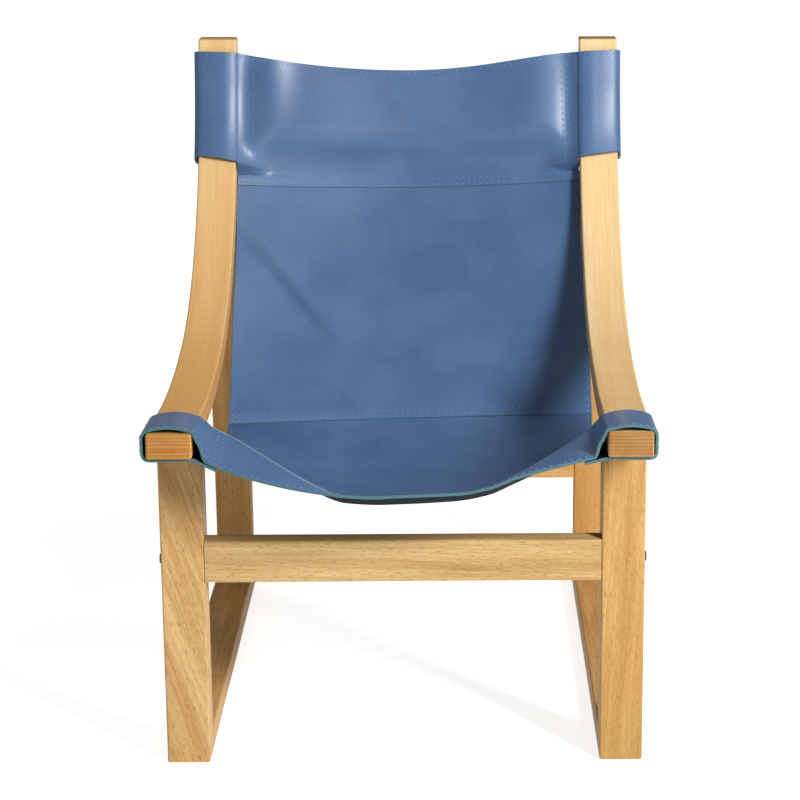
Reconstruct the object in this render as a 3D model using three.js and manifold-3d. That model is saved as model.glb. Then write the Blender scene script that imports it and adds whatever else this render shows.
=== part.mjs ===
import * as THREE from 'three';
import { mergeVertices } from 'three/addons/utils/BufferGeometryUtils.js';
import Module from 'manifold-3d';

const wasm = await Module();
wasm.setup();

// Lounge chair: two side frames of bent laminated wood and a three-piece leather sling.
// Millimetres, Z up, seat opening towards -Y, floor at Z 0, middle of the chair at X 0.

// Overall sizes
const frameWidth = 600;
const frameDepth = 800;
const chairHeight = 847;

// Wood stock
const stockWidth = 54;
const stockThickness = 30;
const edgeRounding = 2.6;
const fitGap = 0.3;
const cutOverrun = 60;

// Bent rail, measured along its upper and front surface from the front end
const railFrontHeight = 457;
const stubLength = 150;
const stubFallAngle = 2;
const seatBendAngle = 14;
const sweepLength = 362;
const sweepAngle = 48;
const backBendLength = 115;
const backBendAngle = 20;
const facetAngle = 2.6;

// Legs, runners and crossbars
const frontLegSetback = 101.3;
const frontLegDepth = 43;
const rearJointBelowSleeve = 47;
const rearFootReach = 115.6;
const rearLegBendHeight = 100;
const crossbarHeight = 52.5;
const crossbarDepth = 32.4;
const crossbarRounding = 4;
const frontCrossbarDrop = 217.4;
const rearCrossbarBottom = 178;

// Crossbar bolts, barrel nuts and dowels
const boltDiameter = 8;
const boltHeadDiameter = 13;
const boltHeadHeight = 6.6;
const boltHeadProud = 2.6;
const boltTipLength = 9;
const socketWidth = 5;
const socketDepth = 3.4;
const nutDiameter = 12;
const nutLength = 17;
const nutInset = 35;
const dowelDiameter = 8;
const dowelLength = 40;
const dowelOffset = 16;

// Loose tenons
const tenonWidth = 32;
const tenonThickness = 10;
const tenonInLeg = 22;
const tenonInStock = 17;

// Leather
const leatherThickness = 3.6;
const sleeveSetback = 5;
const seatSleeveLength = 80;
const lapWidth = 14;
const seatEdgeInset = 16;
const seamEdgeOverhang = 4.6;
const backEdgeInset = 1.2;
const headEdgeInset = 3;
const slingShift = 3.6;
const lipDrop = 84.5;
const lipRise = 22;
const seatSagMiddle = 53;
const seatSagSide = 28;
const seatSagLean = 0.15;
const seamMiddleFromRear = 310;
const seamSideFromRear = 333;
const seamMiddleDrop = 112;
const seamSideDrop = 107;
const seamTilt = 12;
const backBulgeMiddle = 20;
const backBulgeSide = 9;
const headTopBelowPost = 20.4;
const headSleeveLength = 158.6;
const headFoldBelowSleeve = 4.5;
const headLapBelowSleeve = 9.8;
const headLapMiddleRise = 3.6;
const headSkewLow = 5.4;
const headSkewTop = 2.8;
const sleeveEdgeRise = 9;
const sleeveTopRise = 2.2;
const headTopDip = 24;
const headSideDepth = 22;
const headFoldDepth = 9.5;
const headSleeveDepth = -1.6;
const headMiddleDepthLow = 50;
const headMiddleDepthTop = 31;

// Places that follow from the sizes
const frontY = -frameDepth / 2;
const rearY = frameDepth / 2;
const outerX = frameWidth / 2;
const innerX = outerX - stockWidth;
const frontLegFront = frontY + frontLegSetback;
const frontLegRear = frontLegFront + frontLegDepth;
const rearLegFront = rearY - stockThickness;
const rearLegMiddle = rearLegFront + stockThickness / 2;
const runnerTop = stockThickness;
const seatHalfWidthFront = innerX - seatEdgeInset;
const seatHalfWidthSeam = innerX + seamEdgeOverhang;
const backHalfWidthTop = innerX - backEdgeInset;
const headHalfWidth = innerX - headEdgeInset;

const radians = (degrees) => degrees * Math.PI / 180;
const between = (start, end, share) => start + (end - start) * share;

// The share of a span at which a rising value passes zero.
function crossing(value, low, high) {
  let start = low;
  let end = high;
  for (let halving = 0; halving < 60; halving += 1) {
    const middle = (start + end) / 2;
    if (value(middle) < 0) start = middle;
    else end = middle;
  }
  return (start + end) / 2;
}

// Rail line
// The rail's upper and front surface as straight and bent stretches, up to the post's top.
function railLine(seatBendLength) {
  const stretches = [
    { length: stubLength, turn: 0 },
    { length: seatBendLength, turn: radians(seatBendAngle) },
    { length: sweepLength, turn: radians(sweepAngle) },
    { length: backBendLength, turn: radians(backBendAngle) },
    { length: Infinity, turn: 0 },
  ];
  const placeAt = (along) => {
    const place = { y: frontY, z: railFrontHeight, angle: -radians(stubFallAngle) };
    let left = along;
    for (const stretch of stretches) {
      const run = Math.min(left, stretch.length);
      const turn = stretch.turn * run / stretch.length;
      const chord = turn === 0 ? run : run * Math.sin(turn / 2) / (turn / 2);
      place.y += chord * Math.cos(place.angle + turn / 2);
      place.z += chord * Math.sin(place.angle + turn / 2);
      place.angle += turn;
      left -= run;
    }
    return place;
  };
  const longest = 2 * (frameDepth + chairHeight);
  const length = crossing((along) => placeAt(along).z - chairHeight, 0, longest);
  return { stretches, placeAt, length };
}

// How far the rear leg's foot stands behind its joint on the rail, for one length of seat bend.
function footReach(seatBendLength) {
  const line = railLine(seatBendLength);
  const above = headTopBelowPost + headSleeveLength + rearJointBelowSleeve;
  const joint = line.placeAt(line.length - above);
  return rearLegMiddle - joint.y - stockThickness * Math.sin(joint.angle);
}

const seatBendLength = crossing((bend) => rearFootReach - footReach(bend), 0, frameDepth);
const rail = railLine(seatBendLength);
const railPlace = rail.placeAt;
const railLength = rail.length;
const headTopAlong = railLength - headTopBelowPost;
const headSleeveAlong = headTopAlong - headSleeveLength;
const headFoldAlong = headSleeveAlong - headFoldBelowSleeve;
const headLapAlong = headSleeveAlong - headLapBelowSleeve;
const rearJointAlong = headSleeveAlong - rearJointBelowSleeve;

// A point at a distance behind the rail's front surface, seen from the side.
function behindRail(along, depth) {
  const place = railPlace(along);
  const y = place.y + depth * Math.sin(place.angle);
  const z = place.z - depth * Math.cos(place.angle);
  return new THREE.Vector2(y, z);
}

function railStations() {
  const stations = [];
  let start = 0;
  for (const stretch of rail.stretches) {
    const parts = Math.max(1, Math.round(stretch.turn / radians(facetAngle)));
    for (let part = 1; part <= parts; part += 1) {
      stations.push(start + stretch.length * part / parts);
    }
    start += stretch.length;
  }
  return stations.filter((along) => along < railLength);
}

// Side outline of the rail, with room added in front and behind where a cut needs it.
function railOutline(roomInFront, roomBehind) {
  const stations = railStations();
  const backDepth = stockThickness + roomBehind;
  const stubAngle = railPlace(0).angle;
  const topAngle = railPlace(railLength).angle;
  const topFront = behindRail(railLength, 0);
  const front = stations.map((along) => behindRail(along, -roomInFront));
  const back = stations.map((along) => behindRail(along, backDepth)).reverse();
  return [
    new THREE.Vector2(frontY, railFrontHeight + roomInFront / Math.cos(stubAngle)),
    ...front,
    new THREE.Vector2(topFront.x - roomInFront / Math.sin(topAngle), chairHeight),
    new THREE.Vector2(topFront.x + backDepth / Math.sin(topAngle), chairHeight),
    ...back,
    new THREE.Vector2(frontY, railFrontHeight - backDepth / Math.cos(stubAngle)),
  ].reverse();
}

// Solid making
function bare(geometry) {
  const plain = geometry.clone();
  plain.deleteAttribute('normal');
  plain.deleteAttribute('uv');
  return mergeVertices(plain, 0.0001);
}

function toManifold(geometry) {
  const plain = bare(geometry);
  return new wasm.Manifold(new wasm.Mesh({
    numProp: 3,
    vertProperties: new Float32Array(plain.attributes.position.array),
    triVerts: new Uint32Array(plain.index.array),
  }));
}

function fromManifold(solid) {
  const mesh = solid.getMesh();
  const geometry = new THREE.BufferGeometry();
  geometry.setAttribute('position', new THREE.BufferAttribute(mesh.vertProperties, 3));
  geometry.setIndex(new THREE.BufferAttribute(mesh.triVerts, 1));
  return geometry;
}

function cutAway(body, cutters) {
  let solid = toManifold(body);
  for (const cutter of cutters) {
    solid = solid.subtract(toManifold(cutter));
  }
  return fromManifold(solid);
}

// A side outline, in Y and Z, as thick as the span from one X to another.
function sideBlock(outline, fromX, toX, rounding) {
  const geometry = new THREE.ExtrudeGeometry(new THREE.Shape(outline), {
    depth: toX - fromX - 2 * rounding,
    curveSegments: 6,
    bevelEnabled: rounding > 0,
    bevelThickness: rounding,
    bevelSize: rounding,
    bevelOffset: -rounding,
    bevelSegments: 3,
  });
  const turn = new THREE.Matrix4().makeBasis(
    new THREE.Vector3(0, 1, 0),
    new THREE.Vector3(0, 0, 1),
    new THREE.Vector3(1, 0, 0),
  );
  geometry.applyMatrix4(turn);
  geometry.translate(fromX + rounding, 0, 0);
  return geometry;
}

function boxOutline(fromY, toY, fromZ, toZ) {
  return [
    new THREE.Vector2(fromY, fromZ),
    new THREE.Vector2(toY, fromZ),
    new THREE.Vector2(toY, toZ),
    new THREE.Vector2(fromY, toZ),
  ];
}

// A round bar from one point to another.
function roundBar(diameter, from, to, segments) {
  const axis = new THREE.Vector3().subVectors(to, from);
  const geometry = new THREE.CylinderGeometry(diameter / 2, diameter / 2, axis.length(), segments);
  const upright = new THREE.Vector3(0, 1, 0);
  const turn = new THREE.Quaternion().setFromUnitVectors(upright, axis.clone().normalize());
  geometry.applyQuaternion(turn);
  geometry.translate((from.x + to.x) / 2, (from.y + to.y) / 2, (from.z + to.z) / 2);
  return geometry;
}

// The two sides of the chair: -1 is the left one as seen by someone facing the chair.
const sides = [
  { name: 'left', sign: -1 },
  { name: 'right', sign: 1 },
];

const stockFrom = (sign) => (sign < 0 ? -outerX : innerX);
const stockTo = (sign) => (sign < 0 ? -innerX : outerX);
const stockMiddle = (sign) => sign * (innerX + stockWidth / 2);

// Loose tenons
// A flat bar with round edges, lying across the chair, its length along a side direction.
function tenonBar(sign, seat, angle, before, after, room) {
  const round = tenonThickness / 2 + room;
  const reach = tenonWidth / 2 - tenonThickness / 2;
  const outline = new THREE.Shape();
  outline.absarc(reach, 0, round, -Math.PI / 2, Math.PI / 2, false);
  outline.absarc(-reach, 0, round, Math.PI / 2, Math.PI * 3 / 2, false);
  const geometry = new THREE.ExtrudeGeometry(outline, {
    depth: before + after + 2 * room,
    curveSegments: 5,
    bevelEnabled: false,
  });
  const length = new THREE.Vector3(0, Math.cos(angle), Math.sin(angle));
  const across = new THREE.Vector3(1, 0, 0);
  const turn = new THREE.Matrix4().makeBasis(
    across,
    new THREE.Vector3().crossVectors(length, across),
    length,
  );
  geometry.translate(0, 0, -before - room);
  geometry.applyMatrix4(turn);
  geometry.translate(stockMiddle(sign), seat.x, seat.y);
  return geometry;
}

const upright = Math.PI / 2;
const frontLegMiddle = frontLegFront + frontLegDepth / 2;
const stubSlope = Math.tan(radians(stubFallAngle));

function railUnderside(y) {
  const lean = Math.cos(radians(stubFallAngle));
  return railFrontHeight - (y - frontY) * stubSlope - stockThickness / lean;
}

// Rear leg line
// The leg stands upright on the runner, then bends forward to meet the back of the rail.
const rearJoint = behindRail(rearJointAlong, stockThickness);
const rearLegRise = rearJoint.y - rearLegBendHeight;
const rearLegRadius = (rearFootReach ** 2 + rearLegRise ** 2) / (2 * rearFootReach);
const rearLegTurn = 2 * Math.atan2(rearFootReach, rearLegRise);
const rearLegCentreY = rearLegMiddle - rearLegRadius;

function rearLegPoint(turn, offset) {
  const radius = rearLegRadius + offset;
  const y = rearLegCentreY + radius * Math.cos(turn);
  const z = rearLegBendHeight + radius * Math.sin(turn);
  return new THREE.Vector2(y, z);
}

function rearLegOutline() {
  const half = stockThickness / 2;
  const lastTurn = rearLegTurn + stockThickness / rearLegRadius;
  const parts = Math.round(lastTurn / radians(facetAngle));
  const rear = [];
  const front = [];
  for (let part = 0; part <= parts; part += 1) {
    rear.push(rearLegPoint(lastTurn * part / parts, half));
    front.push(rearLegPoint(lastTurn * part / parts, -half));
  }
  return [
    new THREE.Vector2(rearLegFront, runnerTop + fitGap),
    new THREE.Vector2(rearY, runnerTop + fitGap),
    ...rear,
    ...front.reverse(),
  ];
}

// The four tenon seats of one side frame, each with its length before and after the joint.
const tenonSeats = {
  leg_to_rail: {
    seat: new THREE.Vector2(frontLegMiddle, railUnderside(frontLegMiddle)),
    angle: upright,
    before: tenonInLeg,
    after: tenonInStock,
  },
  leg_to_runner: {
    seat: new THREE.Vector2(frontLegRear, runnerTop / 2),
    angle: 0,
    before: tenonInLeg,
    after: tenonInLeg,
  },
  runner_to_rear_leg: {
    seat: new THREE.Vector2(rearLegMiddle, runnerTop),
    angle: upright,
    before: tenonInStock,
    after: tenonInLeg,
  },
  rear_leg_to_rail: {
    seat: rearJoint,
    angle: upright + rearLegTurn,
    before: tenonInLeg,
    after: tenonInStock,
  },
};

function tenon(sign, key, room) {
  const { seat, angle, before, after } = tenonSeats[key];
  return tenonBar(sign, seat, angle, before, after, room);
}

// Crossbar fixings
const crossbars = {
  front: {
    faceY: frontLegFront,
    bottom: railFrontHeight - frontCrossbarDrop,
    boltY: frontLegFront + crossbarDepth / 2,
  },
  rear: {
    faceY: rearLegFront,
    bottom: rearCrossbarBottom,
    boltY: rearLegFront + crossbarDepth / 2,
  },
};

// The rear leg has begun to bend at the rear crossbar, so the crossbar follows its front face.
function rearLegShiftAt(height) {
  const turn = Math.asin((height - rearLegBendHeight) / rearLegRadius);
  return rearLegRadius * (1 - Math.cos(turn));
}

const rearCrossbarMiddle = rearCrossbarBottom + crossbarHeight / 2;
crossbars.rear.faceY -= rearLegShiftAt(rearCrossbarMiddle);
crossbars.rear.boltY = crossbars.rear.faceY + stockThickness / 2;

const boltHeight = (bar) => bar.bottom + crossbarHeight / 2;
const at = (x, bar, rise) => new THREE.Vector3(x, bar.boltY, boltHeight(bar) + rise);

function boltHoles(sign, bar) {
  const seatX = outerX + boltHeadProud - boltHeadHeight;
  const outside = sign * (outerX + cutOverrun);
  const tipX = sign * (innerX - nutInset - boltTipLength - fitGap);
  return [
    roundBar(boltDiameter + 2 * fitGap, at(outside, bar, 0), at(tipX, bar, 0), 20),
    roundBar(
      boltHeadDiameter + 2 * fitGap,
      at(outside, bar, 0),
      at(sign * (seatX - fitGap), bar, 0),
      28,
    ),
    dowelBar(sign, bar, fitGap),
  ];
}

function dowelBar(sign, bar, room) {
  const half = dowelLength / 2 + room;
  return roundBar(
    dowelDiameter + 2 * room,
    at(sign * innerX + half, bar, -dowelOffset),
    at(sign * innerX - half, bar, -dowelOffset),
    20,
  );
}

function crossbarBolt(sign, bar) {
  const seatX = outerX + boltHeadProud - boltHeadHeight;
  const crownX = outerX + boltHeadProud;
  const tipX = innerX - nutInset - boltTipLength;
  const shank = boltDiameter / 2;
  const head = boltHeadDiameter / 2;
  const crownEdge = 0.8;
  const profile = [
    new THREE.Vector2(0, tipX),
    new THREE.Vector2(shank - crownEdge, tipX),
    new THREE.Vector2(shank, tipX + crownEdge),
    new THREE.Vector2(shank, seatX),
    new THREE.Vector2(head, seatX),
    new THREE.Vector2(head, crownX - crownEdge),
    new THREE.Vector2(head - crownEdge, crownX),
    new THREE.Vector2(0, crownX),
  ];
  const body = new THREE.LatheGeometry(profile, 28);
  const socket = new THREE.CylinderGeometry(
    socketWidth / Math.sqrt(3),
    socketWidth / Math.sqrt(3),
    2 * socketDepth,
    6,
  );
  socket.translate(0, crownX, 0);
  const bolt = cutAway(body, [socket]);
  bolt.rotateZ(-sign * Math.PI / 2);
  bolt.translate(0, bar.boltY, boltHeight(bar));
  return bolt;
}

function nutBar(sign, bar, room, openRear) {
  const x = sign * (innerX - nutInset);
  const front = bar.boltY - nutLength / 2 - room;
  const rear = openRear ? bar.faceY + crossbarDepth + cutOverrun : bar.boltY + nutLength / 2;
  return roundBar(
    nutDiameter + 2 * room,
    new THREE.Vector3(x, front, boltHeight(bar)),
    new THREE.Vector3(x, rear, boltHeight(bar)),
    24,
  );
}

function barrelNut(sign, bar) {
  const hole = roundBar(
    boltDiameter + 2 * fitGap,
    at(sign * (innerX - nutInset - cutOverrun), bar, 0),
    at(sign * (innerX - nutInset + cutOverrun), bar, 0),
    20,
  );
  return cutAway(nutBar(sign, bar, 0, false), [hole]);
}

// Side frame pieces
function bentRail(sign) {
  const body = sideBlock(railOutline(0, 0), stockFrom(sign), stockTo(sign), edgeRounding);
  return cutAway(body, [
    tenon(sign, 'leg_to_rail', fitGap),
    tenon(sign, 'rear_leg_to_rail', fitGap),
  ]);
}

function frontLeg(sign) {
  const outline = [
    new THREE.Vector2(frontLegFront, 0),
    new THREE.Vector2(frontLegRear, 0),
    new THREE.Vector2(frontLegRear, railUnderside(frontLegRear) - fitGap),
    new THREE.Vector2(frontLegFront, railUnderside(frontLegFront) - fitGap),
  ];
  const body = sideBlock(outline, stockFrom(sign), stockTo(sign), edgeRounding);
  return cutAway(body, [
    tenon(sign, 'leg_to_rail', fitGap),
    tenon(sign, 'leg_to_runner', fitGap),
    ...boltHoles(sign, crossbars.front),
  ]);
}

function floorRunner(sign) {
  const outline = boxOutline(frontLegRear + fitGap, rearY, 0, runnerTop);
  const body = sideBlock(outline, stockFrom(sign), stockTo(sign), edgeRounding);
  return cutAway(body, [
    tenon(sign, 'leg_to_runner', fitGap),
    tenon(sign, 'runner_to_rear_leg', fitGap),
  ]);
}

function rearLeg(sign) {
  const body = sideBlock(rearLegOutline(), stockFrom(sign), stockTo(sign), edgeRounding);
  const railSpace = sideBlock(
    railOutline(cutOverrun, fitGap),
    stockFrom(sign) - fitGap,
    stockTo(sign) + fitGap,
    0,
  );
  return cutAway(body, [
    railSpace,
    tenon(sign, 'runner_to_rear_leg', fitGap),
    tenon(sign, 'rear_leg_to_rail', fitGap),
    ...boltHoles(sign, crossbars.rear),
  ]);
}

function crossbar(bar) {
  const top = bar.bottom + crossbarHeight;
  const rear = bar.faceY + crossbarDepth;
  const outline = new THREE.Shape();
  outline.moveTo(bar.faceY, bar.bottom);
  outline.lineTo(rear, bar.bottom);
  outline.lineTo(rear, top - crossbarRounding);
  outline.absarc(rear - crossbarRounding, top - crossbarRounding, crossbarRounding, 0, upright);
  outline.absarc(
    bar.faceY + crossbarRounding,
    top - crossbarRounding,
    crossbarRounding,
    upright,
    Math.PI,
  );
  const points = outline.getPoints(5);
  const body = sideBlock(points, -innerX + fitGap, innerX - fitGap, 0);
  const cutters = sides.flatMap(({ sign }) => [
    ...boltHoles(sign, bar),
    nutBar(sign, bar, fitGap, true),
  ]);
  return cutAway(body, cutters);
}

// Sling lines
const seatFront = frontY + sleeveSetback;
const seatSleeveRear = seatFront + seatSleeveLength;
const slingColumnShares = [
  -1, -0.9, -0.74, -0.6, -0.45, -0.3, -0.15, 0, 0.15, 0.3, 0.45, 0.6, 0.74, 0.9, 1,
];
const lipDropShares = [
  0.42, 0.55, 0.69, 0.79, 0.87, 0.926, 0.95, 0.935, 0.92, 0.902, 0.825, 0.67, 0.56, 0.445, 0.38,
];
const crestDepthShares = [
  1, 0.95, 0.69, 0.44, 0.175, 0, 0, 0, 0, 0, 0, 0.17, 0.525, 0.8, 0.975,
];
const crestRiseShares = [
  0.98, 0.98, 0.8, 0.53, 0.23, 0, 0, 0, 0, 0, 0, 0, 0.04, 0.37, 0.66,
];
const headDepthShares = [
  0, 0.26, 0.54, 0.71, 0.845, 0.93, 0.98, 1, 0.98, 0.93, 0.845, 0.71, 0.54, 0.26, 0,
];
const headDipShares = [
  0, 0.19, 0.45, 0.64, 0.8, 0.91, 0.98, 1, 0.965, 0.86, 0.7, 0.49, 0.28, 0.07, 0,
];
const seatRowShares = [0.07, 0.16, 0.27, 0.39, 0.51, 0.63, 0.75, 0.87, 0.95, 1];
const backRowShares = [0.13, 0.25, 0.38, 0.5, 0.62, 0.75, 0.87];
const sleeveRowShares = [0, 0.25, 0.5, 0.75, 1];
const headRowShares = [0, 0.12, 0.24, 0.36, 0.48, 0.6, 0.72, 1];

// How far the sling's middle line prevails over its side lines at a share of the half width.
const middleWeight = (share) => 1 - share * share;

const smooth = (share) => {
  const held = Math.min(1, Math.max(0, share));
  return held * held * (3 - 2 * held);
};

// The seat at one column: the drooping lip up to the crest, then the hanging run to the seam.
function seatHeight(column, y) {
  const share = slingColumnShares[column];
  const lipZ = railFrontHeight - lipDrop * lipDropShares[column];
  const crestY = seatFront + seatSleeveLength * crestDepthShares[column];
  const crestZ = lipZ + lipRise * crestRiseShares[column];
  if (y < crestY) {
    return between(lipZ, crestZ, (y - seatFront) / (crestY - seatFront));
  }
  const seam = seamPlace(share);
  const run = (y - crestY) / (seam.y - crestY);
  const sag = between(seatSagSide, seatSagMiddle, middleWeight(share));
  const lean = 1 + seatSagLean * (2 * run - 1);
  return between(crestZ, seam.z, run) - 4 * run * (1 - run) * lean * sag;
}

function seamPlace(share) {
  const weight = middleWeight(share);
  return {
    y: rearY - between(seamSideFromRear, seamMiddleFromRear, weight),
    z: railFrontHeight - between(seamSideDrop, seamMiddleDrop, weight) + seamTilt * share / 2,
  };
}

function seatPoint(column, y, widen) {
  const share = slingColumnShares[column];
  const halfWidth = between(seatHalfWidthFront, seatHalfWidthSeam, widen);
  return new THREE.Vector3(share * halfWidth + slingShift * widen, y, seatHeight(column, y));
}

function backPoint(share, up) {
  const weight = middleWeight(share);
  const seam = seamPlace(share);
  const topAlong = headLapAlong + headLapMiddleRise * weight + headSkew(share, 0);
  const top = behindRail(topAlong, between(headSideDepth, headMiddleDepthLow, weight));
  const rise = Math.atan2(top.y - seam.z, top.x - seam.y);
  const bulge = 4 * up * (1 - up) * between(backBulgeSide, backBulgeMiddle, weight);
  const narrowing = smooth(up * 2.5 - 0.9);
  const halfWidth = between(seatHalfWidthSeam, backHalfWidthTop, narrowing);
  return new THREE.Vector3(
    share * halfWidth + between(slingShift, 0, narrowing),
    between(seam.y, top.x, up) + bulge * Math.sin(rise),
    between(seam.z, top.y, up) - bulge * Math.cos(rise),
  );
}

// The head panel hangs a little askew: how much higher it is towards the right.
function headSkew(share, up) {
  return between(headSkewLow, headSkewTop, up) * (1 + share) / 2;
}

// A value between the columns of a table of shares.
function sharedAt(shares, share) {
  const next = slingColumnShares.findIndex((column) => column > share);
  if (next < 0) return shares[shares.length - 1];
  const last = next - 1;
  const gap = slingColumnShares[next] - slingColumnShares[last];
  return between(shares[last], shares[next], (share - slingColumnShares[last]) / gap);
}

function headDepth(share, sideDepth, up) {
  const middleDepth = between(headMiddleDepthLow, headMiddleDepthTop, up);
  return between(sideDepth, middleDepth, sharedAt(headDepthShares, share));
}

// The head panel's place behind the post's front surface.
function headPoint(column, along, sideDepth, up) {
  const share = slingColumnShares[column];
  const lapRise = headLapMiddleRise * middleWeight(share);
  const shift = between(lapRise, -headTopDip * headDipShares[column], up) + headSkew(share, up);
  const place = behindRail(along + shift, headDepth(share, sideDepth, up));
  return new THREE.Vector3(share * headHalfWidth, place.x, place.y);
}

// Sleeve paths: outward from the post's inner face, and away from its upper or front face,
// both as shares of the stock's own sizes.
const seatSleeveOutShares = [
  -0.185, -0.07, -0.024, 0.06, 0.26, 0.5, 0.74, 0.93, 1.03, 1.068, 1.07, 1.065, 1.03, 0.955,
  0.7, 0.37, 0.03, -0.06, -0.185,
];
const seatSleeveUpShares = [
  0, 0, 0.045, 0.09, 0.19, 0.23, 0.2, 0.125, 0.03, -0.16, -0.5, -0.88, -1.03, -1.095,
  -1.1, -1.09, -1.08, -1.11, 0,
];
const headSleeveOutShares = [
  -0.01, 0.07, 0.26, 0.5, 0.74, 0.93, 1, 1.045, 1.062, 1.062, 1.045, 1, 0.93, 0.6, 0.3,
  0.07, -0.028, -0.11, -0.2,
];
const headSleeveDepthShares = [
  -0.07, -0.09, -0.105, -0.11, -0.105, -0.093, -0.06, 0.05, 0.2, 0.8, 0.95, 1.06, 1.093,
  1.1, 1.1, 1.09, 1.03, 0.8, 0.47,
];
const flapReachShares = [1, 0.74, 0.48];
const flapGap = 4.7;
const seatFlapWidth = 22;
const headFlapWidth = 16;

// The seat's sheet where it leaves the rail's top and drops to the flap, near the rail's side.
function seatSleeve(sign, y) {
  const edgeColumn = sign < 0 ? 0 : slingColumnShares.length - 1;
  const edge = seatPoint(edgeColumn, y, 0);
  const next = seatPoint(edgeColumn - sign, y, 0);
  const railTop = railFrontHeight - (y - frontY) * stubSlope;
  const edgeUp = edge.z - railTop;
  const flapStart = edgeUp - flapGap;
  const underRail = stockThickness * seatSleeveUpShares[seatSleeveUpShares.length - 2];
  const ups = seatSleeveUpShares.map((share) => stockThickness * share);
  ups[0] = edgeUp * 0.5;
  ups[1] = edgeUp * 0.13;
  ups[ups.length - 1] = between(underRail, flapStart, 0.6);
  const path = seatSleeveOutShares.map((share, index) => new THREE.Vector3(
    sign * (innerX + stockWidth * share),
    y,
    railTop + ups[index],
  ));
  const slope = (next.z - edge.z) / (next.x - edge.x);
  for (const reach of flapReachShares) {
    const x = edge.x - sign * seatFlapWidth * (1 - reach) / flapReachShares[0];
    path.push(new THREE.Vector3(x, y, edge.z + slope * (x - edge.x) - flapGap));
  }
  return path;
}

function headSleeve(sign, along, up, raised) {
  const path = headSleeveOutShares.map((share, index) => {
    const outward = Math.min(1, Math.max(0, share));
    const rise = between(sleeveTopRise, sleeveEdgeRise, raised) * outward + headSkew(sign, up);
    const place = behindRail(along + rise, stockThickness * headSleeveDepthShares[index]);
    return new THREE.Vector3(sign * (innerX + stockWidth * share), place.x, place.y);
  });
  const endShare = 1 - 2 * headFlapWidth / headHalfWidth;
  for (const reach of flapReachShares) {
    const share = sign * between(endShare, 1 - headFlapWidth / headHalfWidth, reach);
    const dip = headTopDip * sharedAt(headDipShares, share) * up;
    const depth = headDepth(share, headSleeveDepth, up) + flapGap;
    const place = behindRail(along - dip + headSkew(share, up), depth);
    path.push(new THREE.Vector3(share * headHalfWidth, place.x, place.y));
  }
  return path;
}

const sleevePoints = seatSleeveOutShares.length + flapReachShares.length;
const noSleeve = () => new Array(sleevePoints).fill(null);

function fullRow(left, middle, right) {
  return [...left.slice().reverse(), ...middle, ...right];
}

// All rows of the sling, from the seat's front edge up to the head panel's top edge.
const columns = slingColumnShares.map((share, column) => column);
const seatRows = sleeveRowShares.map((share) => {
  const y = between(seatFront, seatSleeveRear, share);
  const middle = columns.map((column) => seatPoint(column, y, 0));
  return fullRow(seatSleeve(-1, y), middle, seatSleeve(1, y));
});
const hangingRows = seatRowShares.map((run) => {
  const middle = columns.map((column) => {
    const seamY = seamPlace(slingColumnShares[column]).y;
    return seatPoint(column, between(seatSleeveRear, seamY, run), run);
  });
  return fullRow(noSleeve(), middle, noSleeve());
});
const backReach = Math.hypot(
  behindRail(headLapAlong, headSideDepth).x - seamPlace(1).y,
  behindRail(headLapAlong, headSideDepth).y - seamPlace(1).z,
);
const lapShare = lapWidth / backReach;
const backUps = [lapShare, ...backRowShares, 1 - lapShare, 1];
const backRows = backUps.map((up) => {
  const middle = slingColumnShares.map((share) => backPoint(share, up));
  return fullRow(noSleeve(), middle, noSleeve());
});
const headSpan = headTopAlong - headLapAlong;
const foldUp = (headFoldAlong - headLapAlong) / headSpan;
const foldRow = fullRow(
  noSleeve(),
  columns.map((column) => headPoint(column, headFoldAlong, headFoldDepth, foldUp)),
  noSleeve(),
);
const headRows = headRowShares.map((share) => {
  const along = between(headSleeveAlong, headTopAlong, share);
  const up = (along - headLapAlong) / headSpan;
  const middle = columns.map((column) => headPoint(column, along, headSleeveDepth, up));
  const raised = 1 - share;
  return fullRow(headSleeve(-1, along, up, raised), middle, headSleeve(1, along, up, raised));
});
const slingRows = [...seatRows, ...hangingRows, ...backRows, foldRow, ...headRows];

function slingNormal(row, column) {
  const here = slingRows[row][column];
  const pick = (r, c) => (slingRows[r] && slingRows[r][c]) || here;
  const across = new THREE.Vector3().subVectors(pick(row, column + 1), pick(row, column - 1));
  const onward = new THREE.Vector3().subVectors(pick(row + 1, column), pick(row - 1, column));
  return across.cross(onward).normalize();
}

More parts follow.
